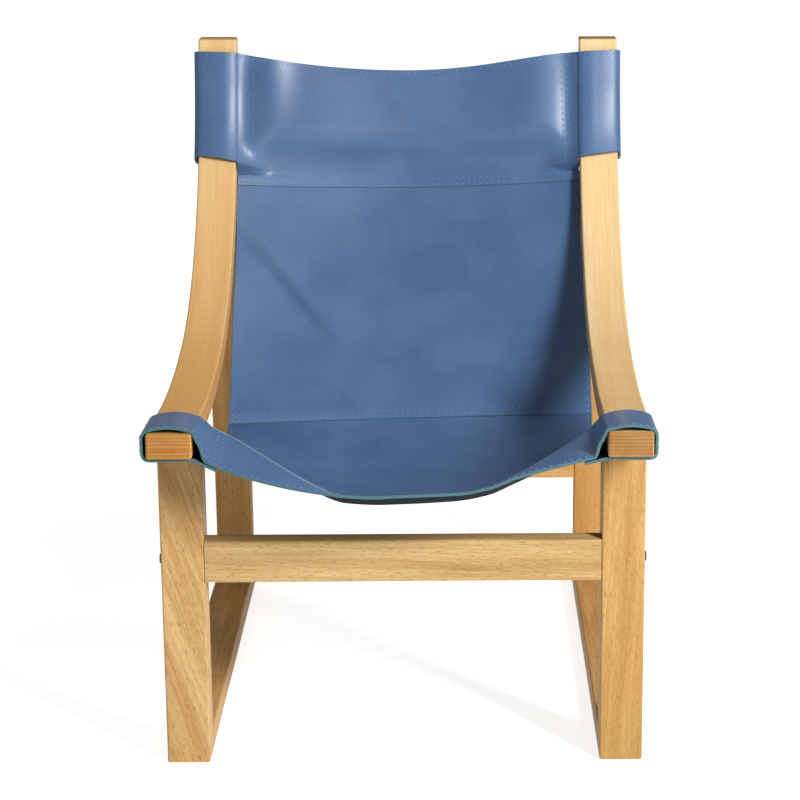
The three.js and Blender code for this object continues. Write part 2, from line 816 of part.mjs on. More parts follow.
// A run of rows as a closed sheet, each row lifted off the sling's line by its own amount.
function leatherSheet(firstRow, lifts) {
  const positions = [];
  const index = [];
  const corner = new Map();
  const half = leatherThickness / 2;
  const width = slingRows[firstRow].length;
  lifts.forEach((lift, step) => {
    const row = firstRow + step;
    for (let column = 0; column < width; column += 1) {
      const point = slingRows[row][column];
      if (!point) continue;
      const normal = slingNormal(row, column);
      corner.set(step * width + column, positions.length / 6);
      positions.push(...point.clone().addScaledVector(normal, lift + half).toArray());
      positions.push(...point.clone().addScaledVector(normal, lift - half).toArray());
    }
  });
  const rim = new Map();
  for (let step = 0; step + 1 < lifts.length; step += 1) {
    for (let column = 0; column + 1 < width; column += 1) {
      const ring = [
        corner.get(step * width + column),
        corner.get(step * width + column + 1),
        corner.get((step + 1) * width + column + 1),
        corner.get((step + 1) * width + column),
      ];
      if (ring.includes(undefined)) continue;
      const [a, b, c, d] = ring;
      index.push(2 * a, 2 * b, 2 * c, 2 * a, 2 * c, 2 * d);
      index.push(2 * a + 1, 2 * c + 1, 2 * b + 1, 2 * a + 1, 2 * d + 1, 2 * c + 1);
      ring.forEach((start, place) => {
        const end = ring[(place + 1) % ring.length];
        if (!rim.delete(`${end}_${start}`)) rim.set(`${start}_${end}`, [start, end]);
      });
    }
  }
  for (const [start, end] of rim.values()) {
    index.push(2 * start, 2 * start + 1, 2 * end + 1, 2 * start, 2 * end + 1, 2 * end);
  }
  const geometry = new THREE.BufferGeometry();
  geometry.setAttribute('position', new THREE.Float32BufferAttribute(positions, 3));
  geometry.setIndex(index);
  return geometry;
}

const layer = leatherThickness + fitGap;
const seamRow = seatRows.length + hangingRows.length - 1;
const backTopRow = seamRow + backRows.length;

function seatPanel() {
  return leatherSheet(0, new Array(seamRow + 2).fill(0));
}

// The back panel lies on the seat at its lower edge and behind the head panel at its upper edge.
function backPanel() {
  const steps = backTopRow - seamRow;
  const lifts = [];
  for (let step = 0; step <= steps; step += 1) {
    const inner = Math.min(1, Math.max(0, (step - 1) / (steps - 2)));
    lifts.push(between(layer, -layer, inner));
  }
  return leatherSheet(seamRow, lifts);
}

function headPanel() {
  const rows = slingRows.length - backTopRow + 1;
  return leatherSheet(backTopRow - 1, new Array(rows).fill(0));
}

// Materials
const material = (color, roughness, metalness) => (
  new THREE.MeshStandardMaterial({ color, roughness, metalness })
);
const frameWood = () => material('#c1884a', 0.5, 0);
const crossbarWood = () => material('#b87f45', 0.5, 0);
const tenonWood = () => material('#c9a070', 0.7, 0);
const slingLeather = () => material('#48628c', 0.5, 0);
const boltSteel = () => material('#3b3a3a', 0.4, 1);
const nutSteel = () => material('#8d8f92', 0.4, 1);

const chair = new THREE.Group();
chair.name = 'leather_sling_lounge_chair';

function add(name, geometry, surface) {
  const mesh = new THREE.Mesh(bare(geometry), surface);
  mesh.name = name;
  chair.add(mesh);
}

for (const { name, sign } of sides) {
  add(`${name}_bent_rail`, bentRail(sign), frameWood());
  add(`${name}_front_leg`, frontLeg(sign), frameWood());
  add(`${name}_floor_runner`, floorRunner(sign), frameWood());
  add(`${name}_rear_leg`, rearLeg(sign), frameWood());
  for (const key of Object.keys(tenonSeats)) {
    add(`${name}_tenon_${key}`, tenon(sign, key, 0), tenonWood());
  }
  for (const [place, bar] of Object.entries(crossbars)) {
    add(`${name}_${place}_bolt`, crossbarBolt(sign, bar), boltSteel());
    add(`${name}_${place}_barrel_nut`, barrelNut(sign, bar), nutSteel());
    add(`${name}_${place}_dowel`, dowelBar(sign, bar, 0), tenonWood());
  }
}
add('front_crossbar', crossbar(crossbars.front), crossbarWood());
add('rear_crossbar', crossbar(crossbars.rear), crossbarWood());
add('seat_panel', seatPanel(), slingLeather());
add('back_panel', backPanel(), slingLeather());
add('head_panel', headPanel(), slingLeather());

export default chair;
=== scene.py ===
"""Lounge chair with a bent wood frame and a three-piece leather sling."""

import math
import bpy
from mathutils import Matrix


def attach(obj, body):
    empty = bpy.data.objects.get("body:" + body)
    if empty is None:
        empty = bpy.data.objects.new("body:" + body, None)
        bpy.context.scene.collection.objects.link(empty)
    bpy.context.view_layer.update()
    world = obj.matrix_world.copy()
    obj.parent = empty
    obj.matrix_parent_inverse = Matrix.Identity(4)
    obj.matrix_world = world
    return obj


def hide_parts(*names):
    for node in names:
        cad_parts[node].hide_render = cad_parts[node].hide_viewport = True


bl_info = {
    "name": "Leather Sling Lounge Chair",
    "version": (1, 0, 0),
    "blender": (4, 5, 0),
    "location": "3D View > Sidebar > Sling Chair",
    "description": "Leather sling, stitching, wood and steel finishes for a bent wood lounge chair",
    "category": "Object",
}

import bpy
import numpy as np
from bpy.props import FloatProperty, FloatVectorProperty, IntProperty, PointerProperty

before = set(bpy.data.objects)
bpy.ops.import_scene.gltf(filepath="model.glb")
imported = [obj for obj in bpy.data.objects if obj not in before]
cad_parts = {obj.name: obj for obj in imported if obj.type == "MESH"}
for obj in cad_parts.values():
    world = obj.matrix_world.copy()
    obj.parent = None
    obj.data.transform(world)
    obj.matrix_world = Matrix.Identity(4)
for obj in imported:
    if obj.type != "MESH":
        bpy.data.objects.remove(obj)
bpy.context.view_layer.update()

MM = 0.001
WHITE = (1, 1, 1, 1)

# Frame sizes in millimetres, as the solids have them
FRONT_Y = -400.0
REAR_Y = 400.0
INNER_X = 246.0
STOCK_WIDTH = 54.0
STOCK_THICKNESS = 30.0
RAIL_FRONT_HEIGHT = 457.0
RAIL_LENGTH = 928.06
STUB_FALL = math.radians(2)
# The rail's stretches with their turns upwards, the last of them drawn on past its end
RAIL_STRETCHES = [
    (150.0, 0.0),
    (239.88, math.radians(14)),
    (362.0, math.radians(48)),
    (115.0, math.radians(20)),
    (400.0, 0.0),
]
# How far along the rail its cut ends' darker tint reaches
END_SKIN = 1.5
REAR_LEG_STRAIGHT = 100.0
REAR_LEG_RADIUS = 1224.9
REAR_LEG_TURN = math.radians(40)

# Sling sizes in millimetres: a pair goes from the sides to the middle, or from low to high,
# and -1 and 1 are the left and right side
SLEEVE_SETBACK = 5.0
SEAT_SLEEVE_LENGTH = 80.0
SEAT_FRONT = FRONT_Y + SLEEVE_SETBACK
SEAT_SLEEVE_REAR = SEAT_FRONT + SEAT_SLEEVE_LENGTH
LAP_WIDTH = 14.0
SEAT_HALF_FRONT = 230.0
SEAT_HALF_SEAM = 250.6
BACK_HALF_TOP = 244.8
HEAD_HALF = 244.6
SLING_SHIFT = 3.6
LIP_DROP = 84.5
LIP_RISE = 22.0
CREST_SOFTNESS = 5.0
SEAT_SAG = (28.0, 52.0)
SEAT_SAG_LEAN = 0.15
SEAM_Y = (67.0, 90.0)
SEAM_Z = (350.0, 345.0)
SEAM_TILT = 12.0
BACK_BULGE = (9.0, 20.0)
BACK_NARROWS = (0.36, 0.76)
HEAD_TOP = RAIL_LENGTH - 20.4
HEAD_SLEEVE = HEAD_TOP - 158.6
HEAD_FOLD = HEAD_SLEEVE - 4.5
HEAD_LAP = HEAD_SLEEVE - 9.8
HEAD_LAP_RISE = 3.6
HEAD_SKEW = (5.4, 1.2)
HEAD_DIP = 24.0
HEAD_ARCH = 3.5
HEAD_QUICKNESS = (3.8, 2.4)
HEAD_SIDE_DEPTHS = (22.0, 9.5, -1.6)
HEAD_MIDDLE_DEPTHS = (50.0, 31.0)
SLEEVE_EDGE_RISES = (9.0, 2.2)
SLEEVE_SWELL = {-1: 1.4, 1: 1.0}
SLEEVE_TUCK = 0.8
FLAP_GAP = 4.7
SEAT_FLAP_WIDTH = 22.0
SEAT_FLAP_SEAM = 8.0
HEAD_FLAP_WIDTH = 16.0
HEAD_FLAP_SEAM = {-1: 14.5, 1: 13.5}
HEAD_FLAP_SEAM_LEAN = {-1: 0.0, 1: -1.1}
FLAP_REACH = (1, 0.74, 0.48)
EDGE_BULGE = 0.45
THREAD_LIFT = 0.1
SHARP_ANGLE = math.radians(38)

# Marks on the leather in millimetres: a diagonal crease on the back panel's left, where the
# hide was folded, from a share of the width and height to another, darkened with painted
# shade, and a painted highlight along the crest of the seat's left fold
BACK_SIZE = (250, 355)
CREASE_START = (-0.99, 0.806)
CREASE_END = (-0.43, 0.326)
CREASE_WIDTH = 5.5
CREASE_DEPTH = 3.6
CREASE_PAINTED_SHADE = 0.55
CREST_HIGHLIGHT_WIDTH = 1.7
CREST_HIGHLIGHT_STRENGTH = 0.95
CREST_HIGHLIGHT_FROM = -0.3
CREST_HIGHLIGHT_FADE = 0.125

# Shares of the sling's width, and what each table below has there: how far the lip drops, how
# far behind it and above it the seat's crest lies, and how far the head panel's top dips
COLUMN_SHARES = np.array(
    [-1, -0.9, -0.74, -0.6, -0.45, -0.3, -0.15, 0, 0.15, 0.3, 0.45, 0.6, 0.74, 0.9, 1]
)
LIP_DROP_SHARES = np.array(
    [0.42, 0.55, 0.69, 0.79, 0.87, 0.926, 0.95, 0.935, 0.92, 0.902, 0.825, 0.67, 0.56, 0.445,
     0.38]
)
CREST_DEPTH_SHARES = np.array(
    [1, 0.95, 0.69, 0.44, 0.175, 0, 0, 0, 0, 0, 0, 0.17, 0.525, 0.8, 0.975]
)
CREST_RISE_SHARES = np.array(
    [0.98, 0.98, 0.8, 0.53, 0.23, 0, 0, 0, 0, 0, 0, 0, 0.04, 0.37, 0.66]
)
HEAD_DIP_SHARES = np.array(
    [0, 0.19, 0.45, 0.64, 0.8, 0.91, 0.98, 1, 0.965, 0.86, 0.7, 0.49, 0.28, 0.07, 0]
)
# The sleeves' way round the wood, in shares of its width and thickness
SEAT_SLEEVE_OUT = np.array([
    -0.185, -0.07, -0.024, 0.06, 0.26, 0.5, 0.74, 0.93, 1.03, 1.068, 1.07, 1.065, 1.03, 0.955,
    0.7, 0.37, 0.03, -0.06, -0.185,
])
SEAT_SLEEVE_UP = np.array([
    0, 0, 0.045, 0.09, 0.19, 0.23, 0.2, 0.125, 0.03, -0.16, -0.5, -0.88, -1.03, -1.095,
    -1.1, -1.09, -1.08, -1.11, 0,
])
HEAD_SLEEVE_OUT = np.array([
    -0.01, 0.07, 0.26, 0.5, 0.74, 0.93, 1, 1.045, 1.062, 1.062, 1.045, 1, 0.93, 0.6, 0.3,
    0.07, -0.028, -0.11, -0.2,
])
HEAD_SLEEVE_DEPTH = np.array([
    -0.07, -0.09, -0.105, -0.11, -0.105, -0.093, -0.06, 0.05, 0.2, 0.8, 0.95, 1.06, 1.093,
    1.1, 1.1, 1.09, 1.03, 0.8, 0.47,
])
# How far each sleeve stands off the post's front, from the inner edge to the outer one
HEAD_SLEEVE_SLACK = {
    -1: np.array([0.2, 1.8, 4.4, 4.6, 3.2, 1.2, 0]),
    1: np.array([1.2, 3.8, 5.4, 4.4, 2.8, 0.9, 0]),
}
# How the head panel turns across its width: depth gained for each step to the right, along its
# top and lower down. Beside the sleeves the doubled leather is stiff and lies in shallow waves.
HEAD_TURN_SHARES = np.array([
    -1, -0.985, -0.97, -0.95, -0.935, -0.92, -0.9, -0.85, -0.81, -0.77, -0.73, -0.67, -0.61, -0.53,
    -0.41, -0.25, -0.12, 0, 0.12, 0.25, 0.41, 0.53, 0.61, 0.7, 0.76, 0.8, 0.83, 0.865, 0.895,
    0.92, 0.942, 0.962, 0.985, 1,
])
HEAD_TURN_TOP = np.array([
    0.5, 0.46, 0.32, 0.27, 0.14, 0, -0.12, -0.12, 0.08, 0.24, 0.32, 0.24, 0.14, 0.1,
    0.08, 0.05, 0.03, 0, -0.05, -0.09, -0.17, -0.2, -0.17, -0.1, -0.02, 0.05, 0.1, 0.13, 0.12,
    0.02, -0.3, -0.6, -0.75, -0.6,
])
HEAD_TURN_LOW = np.array([
    0.5, 0.46, 0.32, 0.27, 0.14, 0, -0.14, -0.14, -0.04, 0.02, 0.05, 0.07, 0.08, 0.09,
    0.09, 0.07, 0.03, -0.02, -0.1, -0.15, -0.22, -0.25, -0.22, -0.14, -0.05, 0.03, 0.08, 0.11,
    0.11, 0.02, -0.3, -0.6, -0.75, -0.6,
])

# Points in the panels' grids, which lie on the leather's middle layer
MIDDLE_COLUMNS = 97
SEAT_SLEEVE_ROWS = 41
SEAT_HANGING_STEPS = 80
BACK_STEPS = 60
HEAD_LOW_STEPS = 6
HEAD_SLEEVE_ROWS = 40
SLEEVE_PARTS = 5
# How thick the leather is left in each row of a lap, from its cut edge
LAP_THICKNESS = np.array([0.4, 0.62, 0.82, 0.95, 1])
LAP_ROWS = len(LAP_THICKNESS)
SLEEVE_WIDTH = (len(SEAT_SLEEVE_OUT) + len(FLAP_REACH)) * SLEEVE_PARTS
LAST_MIDDLE = SLEEVE_WIDTH + MIDDLE_COLUMNS - 1
SHARES = np.linspace(-1, 1, MIDDLE_COLUMNS)

# The photograph's camera: its place in metres, its tilt and turn, and its frame
CAMERA_PLACE = (0.0635, -3.07235, 1.18484)
CAMERA_TILT = math.radians(90 - 14.38)
CAMERA_TURN = math.radians(-1.06)
CAMERA_LENS = 105.83
CAMERA_SHIFT = (-0.12, -0.0022)

# The floor, the height over its middle at which the lamps aim, and the lamps, in metres
FLOOR_REACH = 30.0
FLOOR_LEVEL = -0.0005
AIM_HEIGHT = 0.45
LAMPS = {
    "key": {"size": (0.5, 1.3), "place": (1.9, -2.4, 2.05)},
    "fill": {"size": (2.4, 2.4), "place": (-2.6, -2.6, 1.9)},
    "back": {"size": (1.8, 1.8), "place": (-1.0, 2.0, 3.2)},
}


def between(start, end, share):
    return start + (end - start) * share


def smooth_step(share):
    held = np.clip(share, 0, 1)
    return held * held * (3 - 2 * held)


def eased(t, start, start_lean, end, end_lean):
    """A point on the smooth line from one point to the next, from the line's lean at both."""
    return (
        (2 * t**3 - 3 * t**2 + 1) * start
        + (t**3 - 2 * t**2 + t) * start_lean
        + (3 * t**2 - 2 * t**3) * end
        + (t**3 - t**2) * end_lean
    )


def table_line(at, places, values):
    """Values between a table's points, on a smooth line that doesn't overshoot them."""
    at = np.clip(np.asarray(at, float), places[0], places[-1])
    gaps = np.diff(places)
    slopes = np.diff(values) / gaps
    before, after = slopes[:-1], slopes[1:]
    turning = before * after <= 0
    bends = np.where(turning, 0, 2 * before * after / np.where(turning, 1, before + after))
    bends = np.concatenate([slopes[:1], bends, slopes[-1:]])
    piece = np.clip(np.searchsorted(places, at, side="right") - 1, 0, len(gaps) - 1)
    gap = gaps[piece]
    return eased(
        (at - places[piece]) / gap, values[piece], gap * bends[piece],
        values[piece + 1], gap * bends[piece + 1],
    )


def across_table(share, values):
    return table_line(share, COLUMN_SHARES, values)


def rail_place(along):
    """Y, Z and slope of the rail's upper and front surface at a distance along it."""
    along = np.asarray(along, float)
    y = np.full(along.shape, FRONT_Y)
    z = np.full(along.shape, RAIL_FRONT_HEIGHT)
    angle = np.full(along.shape, -STUB_FALL)
    left = along.copy()
    for length, turn in RAIL_STRETCHES:
        run = np.clip(left, 0, length)
        bend = turn * run / length
        chord = run * np.sinc(bend / (2 * np.pi))
        y = y + chord * np.cos(angle + bend / 2)
        z = z + chord * np.sin(angle + bend / 2)
        angle = angle + bend
        left = left - run
    return y, z, angle


def behind_rail(along, depth):
    y, z, angle = rail_place(along)
    return y + depth * np.sin(angle), z - depth * np.cos(angle)


def middle_weight(share):
    return 1 - share * share


def seam_place(share):
    weight = middle_weight(share)
    return between(*SEAM_Y, weight), between(*SEAM_Z, weight) + SEAM_TILT * share / 2


def crest_place(share):
    return SEAT_FRONT + SEAT_SLEEVE_LENGTH * across_table(share, CREST_DEPTH_SHARES)


def raw_seat_height(share, y):
    lip_z = RAIL_FRONT_HEIGHT - LIP_DROP * across_table(share, LIP_DROP_SHARES)
    crest_z = lip_z + LIP_RISE * across_table(share, CREST_RISE_SHARES)
    crest_y = crest_place(share)
    lip_run = (y - SEAT_FRONT) / np.maximum(crest_y - SEAT_FRONT, 0.01)
    lip = between(lip_z, crest_z, np.minimum(lip_run, 1))
    seam_y, seam_z = seam_place(share)
    run = np.clip((y - crest_y) / (seam_y - crest_y), 0, 1)
    sag = between(*SEAT_SAG, middle_weight(share))
    lean = 1 + SEAT_SAG_LEAN * (2 * run - 1)
    hanging = between(crest_z, seam_z, run) - 4 * run * (1 - run) * lean * sag
    return np.where(y < crest_y, lip, hanging)


def seat_height(share, y):
    """The seat's height, with the crest's fold softened over a few millimetres."""
    near = np.clip((y - SEAT_FRONT) / CREST_SOFTNESS, 0, 1)
    far = np.clip((seam_place(share)[0] - y) / CREST_SOFTNESS, 0, 1)
    reach = CREST_SOFTNESS * np.minimum(near, far)
    return (
        raw_seat_height(share, y - reach)
        + 2 * raw_seat_height(share, y)
        + raw_seat_height(share, y + reach)
    ) / 4


def seat_point(share, y, widen):
    half = between(SEAT_HALF_FRONT, SEAT_HALF_SEAM, widen)
    x = share * half + SLING_SHIFT * widen
    return np.stack([x, y, seat_height(share, y)], axis=-1)


def back_point(share, up):
    weight = middle_weight(share)
    seam_y, seam_z = seam_place(share)
    depth = between(HEAD_SIDE_DEPTHS[0], HEAD_MIDDLE_DEPTHS[0], weight)
    lap = HEAD_LAP + HEAD_LAP_RISE * weight + head_skew(share, 0)
    top_y, top_z = behind_rail(lap, depth)
    rise = np.arctan2(top_z - seam_z, top_y - seam_y)
    bulge = 4 * up * (1 - up) * between(*BACK_BULGE, weight)
    start, end = BACK_NARROWS
    narrowing = smooth_step((up - start) / (end - start))
    half = between(SEAT_HALF_SEAM, BACK_HALF_TOP, narrowing)
    return np.stack([
        share * half + between(SLING_SHIFT, 0, narrowing),
        between(seam_y, top_y, up) + bulge * np.sin(rise),
        between(seam_z, top_z, up) - bulge * np.cos(rise),
    ], axis=-1)


def head_skew(share, up):
    return between(*HEAD_SKEW, up) * (1 + share) / 2


def head_dip(share):
    return HEAD_DIP * across_table(share, HEAD_DIP_SHARES)


def head_up(along):
    return (along - HEAD_LAP) / (HEAD_TOP - HEAD_LAP)


def head_profile(turns):
    """Depth of the head panel at even shares of its width, from how it turns across.

    What the turns would leave over on the right is taken up over the width, most in the middle.
    """
    shares = np.linspace(-1, 1, 801)
    turn = table_line(shares, HEAD_TURN_SHARES, turns)
    depth = np.concatenate([[0], np.cumsum((turn[1:] + turn[:-1]) / 2 * np.diff(shares))])
    slack = np.concatenate([[0], np.cumsum(middle_weight(shares[1:]) ** 3)])
    return shares, HEAD_HALF * (depth - depth[-1] * slack / slack[-1])


def head_depth(share, side_depth, up):
    """Depth behind the posts' front: taut between the sleeves, eased into the lap below."""
    top = np.interp(share, *head_profile(HEAD_TURN_TOP))
    low = np.interp(share, *head_profile(HEAD_TURN_LOW))
    # The arch, the easing and how quick it is change over a seventh, a fifth and a quarter of
    # the way in from a side
    from_side = 1 - np.abs(share)
    arch = HEAD_ARCH * ((2 * up - 1) ** 2 - 1) * smooth_step(from_side * 7)
    taut = side_depth + between(low, top, np.clip(up, 0, 1)) + arch
    middle_depth = between(*HEAD_MIDDLE_DEPTHS, up)
    lap = between(HEAD_SIDE_DEPTHS[0], middle_depth, middle_weight(share))
    quickness = between(*HEAD_QUICKNESS, smooth_step(from_side * 4))
    easing = smooth_step(from_side * 5) * (1 - smooth_step(up * quickness))
    return between(taut, lap, easing)


def head_point(share, along):
    up = head_up(along)
    side_depth = table_line(
        along,
        np.array([HEAD_LAP, HEAD_FOLD, HEAD_SLEEVE, HEAD_TOP]),
        np.array([*HEAD_SIDE_DEPTHS, HEAD_SIDE_DEPTHS[2]]),
    )
    shift = between(HEAD_LAP_RISE * middle_weight(share), -head_dip(share), up)
    y, z = behind_rail(along + shift + head_skew(share, up), head_depth(share, side_depth, up))
    return np.stack([share * HEAD_HALF, y, z], axis=-1)


def swelled(out, side):
    """Sleeve points with the part beyond the outer face standing off more or less."""
    return np.where(out > 1, 1 + (out - 1) * SLEEVE_SWELL[side], out)


def seat_sleeve(side, y):
    """Control points of the sleeve round a rail, from the sheet's side to the flap's end."""
    rows = len(y)
    edge = seat_point(np.full(rows, float(side)), y, 0)
    inner = seat_point(np.full(rows, side * 0.9), y, 0)
    rail_top = RAIL_FRONT_HEIGHT - (y - FRONT_Y) * math.tan(STUB_FALL)
    edge_up = edge[:, 2] - rail_top
    ups = np.tile(STOCK_THICKNESS * SEAT_SLEEVE_UP, (rows, 1))
    # The first two points and the last one join the path to the sheet, wherever it hangs
    ups[:, 0] = edge_up * 0.5
    ups[:, 1] = edge_up * 0.13
    ups[:, -1] = between(ups[:, -2], edge_up - FLAP_GAP, 0.6)
    x = np.tile(side * (INNER_X + STOCK_WIDTH * swelled(SEAT_SLEEVE_OUT, side)), (rows, 1))
    path = np.stack([x, np.tile(y[:, None], (1, x.shape[1])), rail_top[:, None] + ups], axis=-1)
    slope = (inner[:, 2] - edge[:, 2]) / (inner[:, 0] - edge[:, 0])
    flap = []
    for reach in FLAP_REACH:
        shift = -side * SEAT_FLAP_WIDTH * (1 - reach)
        flap.append(np.stack([
            edge[:, 0] + shift, y, edge[:, 2] + slope * shift - FLAP_GAP,
        ], axis=-1))
    return np.concatenate([path, np.stack(flap, axis=1)], axis=1)


def head_sleeve(side, along):
    """Control points of the sleeve round a post, from the sheet's side to the flap's end."""
    rows = len(along)
    up = head_up(along)
    raised = (along - HEAD_SLEEVE) / (HEAD_TOP - HEAD_SLEEVE)
    out = np.tile(swelled(HEAD_SLEEVE_OUT, side), (rows, 1))
    rise = between(*SLEEVE_EDGE_RISES, raised[:, None]) * np.clip(out, 0, 1)
    rise = rise + head_skew(side, up)[:, None]
    depth = STOCK_THICKNESS * HEAD_SLEEVE_DEPTH
    slack = HEAD_SLEEVE_SLACK[side]
    depth[: len(slack)] -= slack
    x = INNER_X + STOCK_WIDTH * out
    # Inside the post, the sleeve's edge dips with the sheet and stays hidden behind it
    dip = head_dip(side * np.minimum(x / HEAD_HALF, 1)) + SLEEVE_TUCK * (out < 0)
    y, z = behind_rail(along[:, None] + rise - dip * up[:, None], np.tile(depth, (rows, 1)))
    path = np.stack([side * x, y, z], axis=-1)
    flap = []
    for reach in FLAP_REACH:
        share = side * (1 - (2 - reach) * HEAD_FLAP_WIDTH / HEAD_HALF)
        flap_depth = head_depth(share, HEAD_SIDE_DEPTHS[2], up) + FLAP_GAP
        y, z = behind_rail(along - head_dip(share) * up + head_skew(share, up), flap_depth)
        flap.append(np.stack([np.full(rows, share * HEAD_HALF), y, z], axis=-1))
    return np.concatenate([path, np.stack(flap, axis=1)], axis=1)


def rounded_path(points, parts):
    """Smooth points along rows of control points, from the second control point onwards."""
    before, start, end = points[:, :-2], points[:, 1:-1], points[:, 2:]
    after = np.concatenate([points[:, 3:], 2 * points[:, -1:] - points[:, -2:-1]], axis=1)

    def span(a, b):
        return np.maximum(np.linalg.norm(b - a, axis=-1, keepdims=True), 1e-6) ** 0.5

    gap_0, gap_1, gap_2 = span(before, start), span(start, end), span(end, after)
    lean_1 = gap_1 * (
        (start - before) / gap_0 - (end - before) / (gap_0 + gap_1) + (end - start) / gap_1
    )
    lean_2 = gap_1 * (
        (end - start) / gap_1 - (after - start) / (gap_1 + gap_2) + (after - end) / gap_2
    )
    steps = [eased(step / parts, start, lean_1, end, lean_2) for step in range(1, parts + 1)]
    return np.stack(steps, axis=2).reshape(points.shape[0], -1, 3)


def with_sleeves(middle, left, right):
    """Rows of the sheet's middle with the rounded sleeve paths on both sides.

    Each path starts from a column a little inside the sheet, so that it leaves smoothly.
    """
    lead = 4
    left_control = np.concatenate([middle[:, lead : lead + 1], middle[:, :1], left], axis=1)
    right_control = np.concatenate([middle[:, -lead - 1 : -lead], middle[:, -1:], right], axis=1)
    left_path = rounded_path(left_control, SLEEVE_PARTS)[:, ::-1]
    right_path = rounded_path(right_control, SLEEVE_PARTS)
    return np.concatenate([left_path, middle, right_path], axis=1)


def beside_sleeves(middle):
    """Rows of the sheet's middle with nothing in the sleeves' columns."""
    gap = np.full((middle.shape[0], SLEEVE_WIDTH, 3), np.nan)
    return np.concatenate([gap, middle, gap], axis=1)


def grid_normals(grid):
    """Normals from each point's neighbours, or from the point itself where one is missing."""
    def step(axis):
        ends = [(0, 0)] * 3
        ends[axis] = (1, 1)
        padded = np.pad(grid, ends, constant_values=np.nan)
        backward, forward = [
            np.take(padded, np.arange(first, first + grid.shape[axis]), axis=axis)
            for first in (0, 2)
        ]
        return (
            np.where(np.isnan(forward), grid, forward)
            - np.where(np.isnan(backward), grid, backward)
        )

    normals = np.cross(step(1), step(0))
    return normals / np.maximum(np.linalg.norm(normals, axis=-1, keepdims=True), 1e-9)


def whole_rows(point, places, *rest):
    """Points across the sheet's middle at each of some places up or along it."""
    share = np.tile(SHARES, (len(places), 1))
    return point(share, np.tile(places[:, None], (1, MIDDLE_COLUMNS)), *rest)


def seat_grid():
    sleeve_y = np.linspace(SEAT_FRONT, SEAT_SLEEVE_REAR, SEAT_SLEEVE_ROWS)
    front = with_sleeves(
        whole_rows(seat_point, sleeve_y, 0), seat_sleeve(-1, sleeve_y), seat_sleeve(1, sleeve_y),
    )
    run = np.linspace(0, 1, SEAT_HANGING_STEPS + 1)[1:, None]
    seam_y, _ = seam_place(SHARES)
    y = between(SEAT_SLEEVE_REAR, seam_y[None, :], run)
    hanging = seat_point(
        np.tile(SHARES, (len(run), 1)), y, np.tile(run, (1, MIDDLE_COLUMNS)),
    )
    lap = whole_rows(back_point, np.linspace(0, lap_share(), LAP_ROWS)[1:])
    return np.concatenate([front, beside_sleeves(hanging), beside_sleeves(lap)])


def fold_wear(grid):
    """Painted highlight along the crest of the seat's left fold."""
    share = np.tile(SHARES, (len(grid), 1))
    middle = slice(SLEEVE_WIDTH, LAST_MIDDLE + 1)
    away = grid[:, middle, 1] - crest_place(share)
    left = smooth_step((CREST_HIGHLIGHT_FROM - share) / CREST_HIGHLIGHT_FADE)
    fold_shading = np.zeros(grid.shape[:2])
    fold_shading[:, middle] = CREST_HIGHLIGHT_STRENGTH * np.exp(-((away / CREST_HIGHLIGHT_WIDTH) ** 2)) * left
    return fold_shading


def lap_share():
    """The lap's width as a share of the back panel's height at its right side."""
    seam_y, seam_z = seam_place(1.0)
    top_y, top_z = behind_rail(HEAD_LAP, HEAD_SIDE_DEPTHS[0])
    return LAP_WIDTH / math.hypot(top_y - seam_y, top_z - seam_z)


def back_ups():
    lap = lap_share()
    return np.concatenate([
        np.linspace(0, lap, LAP_ROWS), np.linspace(lap, 1 - lap, BACK_STEPS + 1)[1:-1],
        np.linspace(1 - lap, 1, LAP_ROWS),
    ])


def back_crease():
    """How deep each point of the back panel lies in its crease, from 0 to 1."""
    size = np.array(BACK_SIZE)
    start = size * CREASE_START
    way = size * CREASE_END - start
    spot = np.stack(np.meshgrid(SHARES, back_ups()), axis=-1) * size - start
    run = np.clip(spot @ way / (way @ way), 0, 1)
    across = np.linalg.norm(spot - run[..., None] * way, axis=-1)
    # Deep in its middle and shallow at both ends
    ends = np.sin(np.pi * np.clip(run, 0.02, 0.98)) ** 0.7
    return ends * np.exp(-((across / CREASE_WIDTH) ** 2))


def head_grid():
    lap = whole_rows(back_point, np.linspace(1 - lap_share(), 1, LAP_ROWS))
    low = whole_rows(head_point, np.linspace(HEAD_LAP, HEAD_SLEEVE, HEAD_LOW_STEPS + 1)[1:-1])
    above = np.linspace(HEAD_SLEEVE, HEAD_TOP, HEAD_SLEEVE_ROWS)
    sleeves = with_sleeves(
        whole_rows(head_point, above), head_sleeve(-1, above), head_sleeve(1, above),
    )
    return np.concatenate([beside_sleeves(lap), beside_sleeves(low), sleeves])


def linear(colour):
    """An sRGB hex colour as the linear colour that the shaders take."""
    parts = [int(colour[place : place + 2], 16) / 255 for place in (1, 3, 5)]
    return [p / 12.92 if p <= 0.04045 else ((p + 0.055) / 1.055) ** 2.4 for p in parts]


def paint(colour):
    return (*linear(colour), 1.0)


def per_metre(millimetres):
    """A pattern's scale from the real size of one of its marks."""
    return 1 / (millimetres * MM)


def colour_property(name, description, colour):
    return FloatVectorProperty(
        name=name, description=description, subtype="COLOR", size=4, min=0, max=1,
        default=paint(colour),
    )


def length_property(name, description, millimetres, low, high):
    return FloatProperty(
        name=name, description=description, default=millimetres * MM, min=low * MM,
        max=high * MM, subtype="DISTANCE", unit="LENGTH", precision=4,
    )


def power_property(name, description, watts):
    return FloatProperty(
        name=name, description=description, default=watts, min=0, subtype="POWER", unit="POWER",
    )


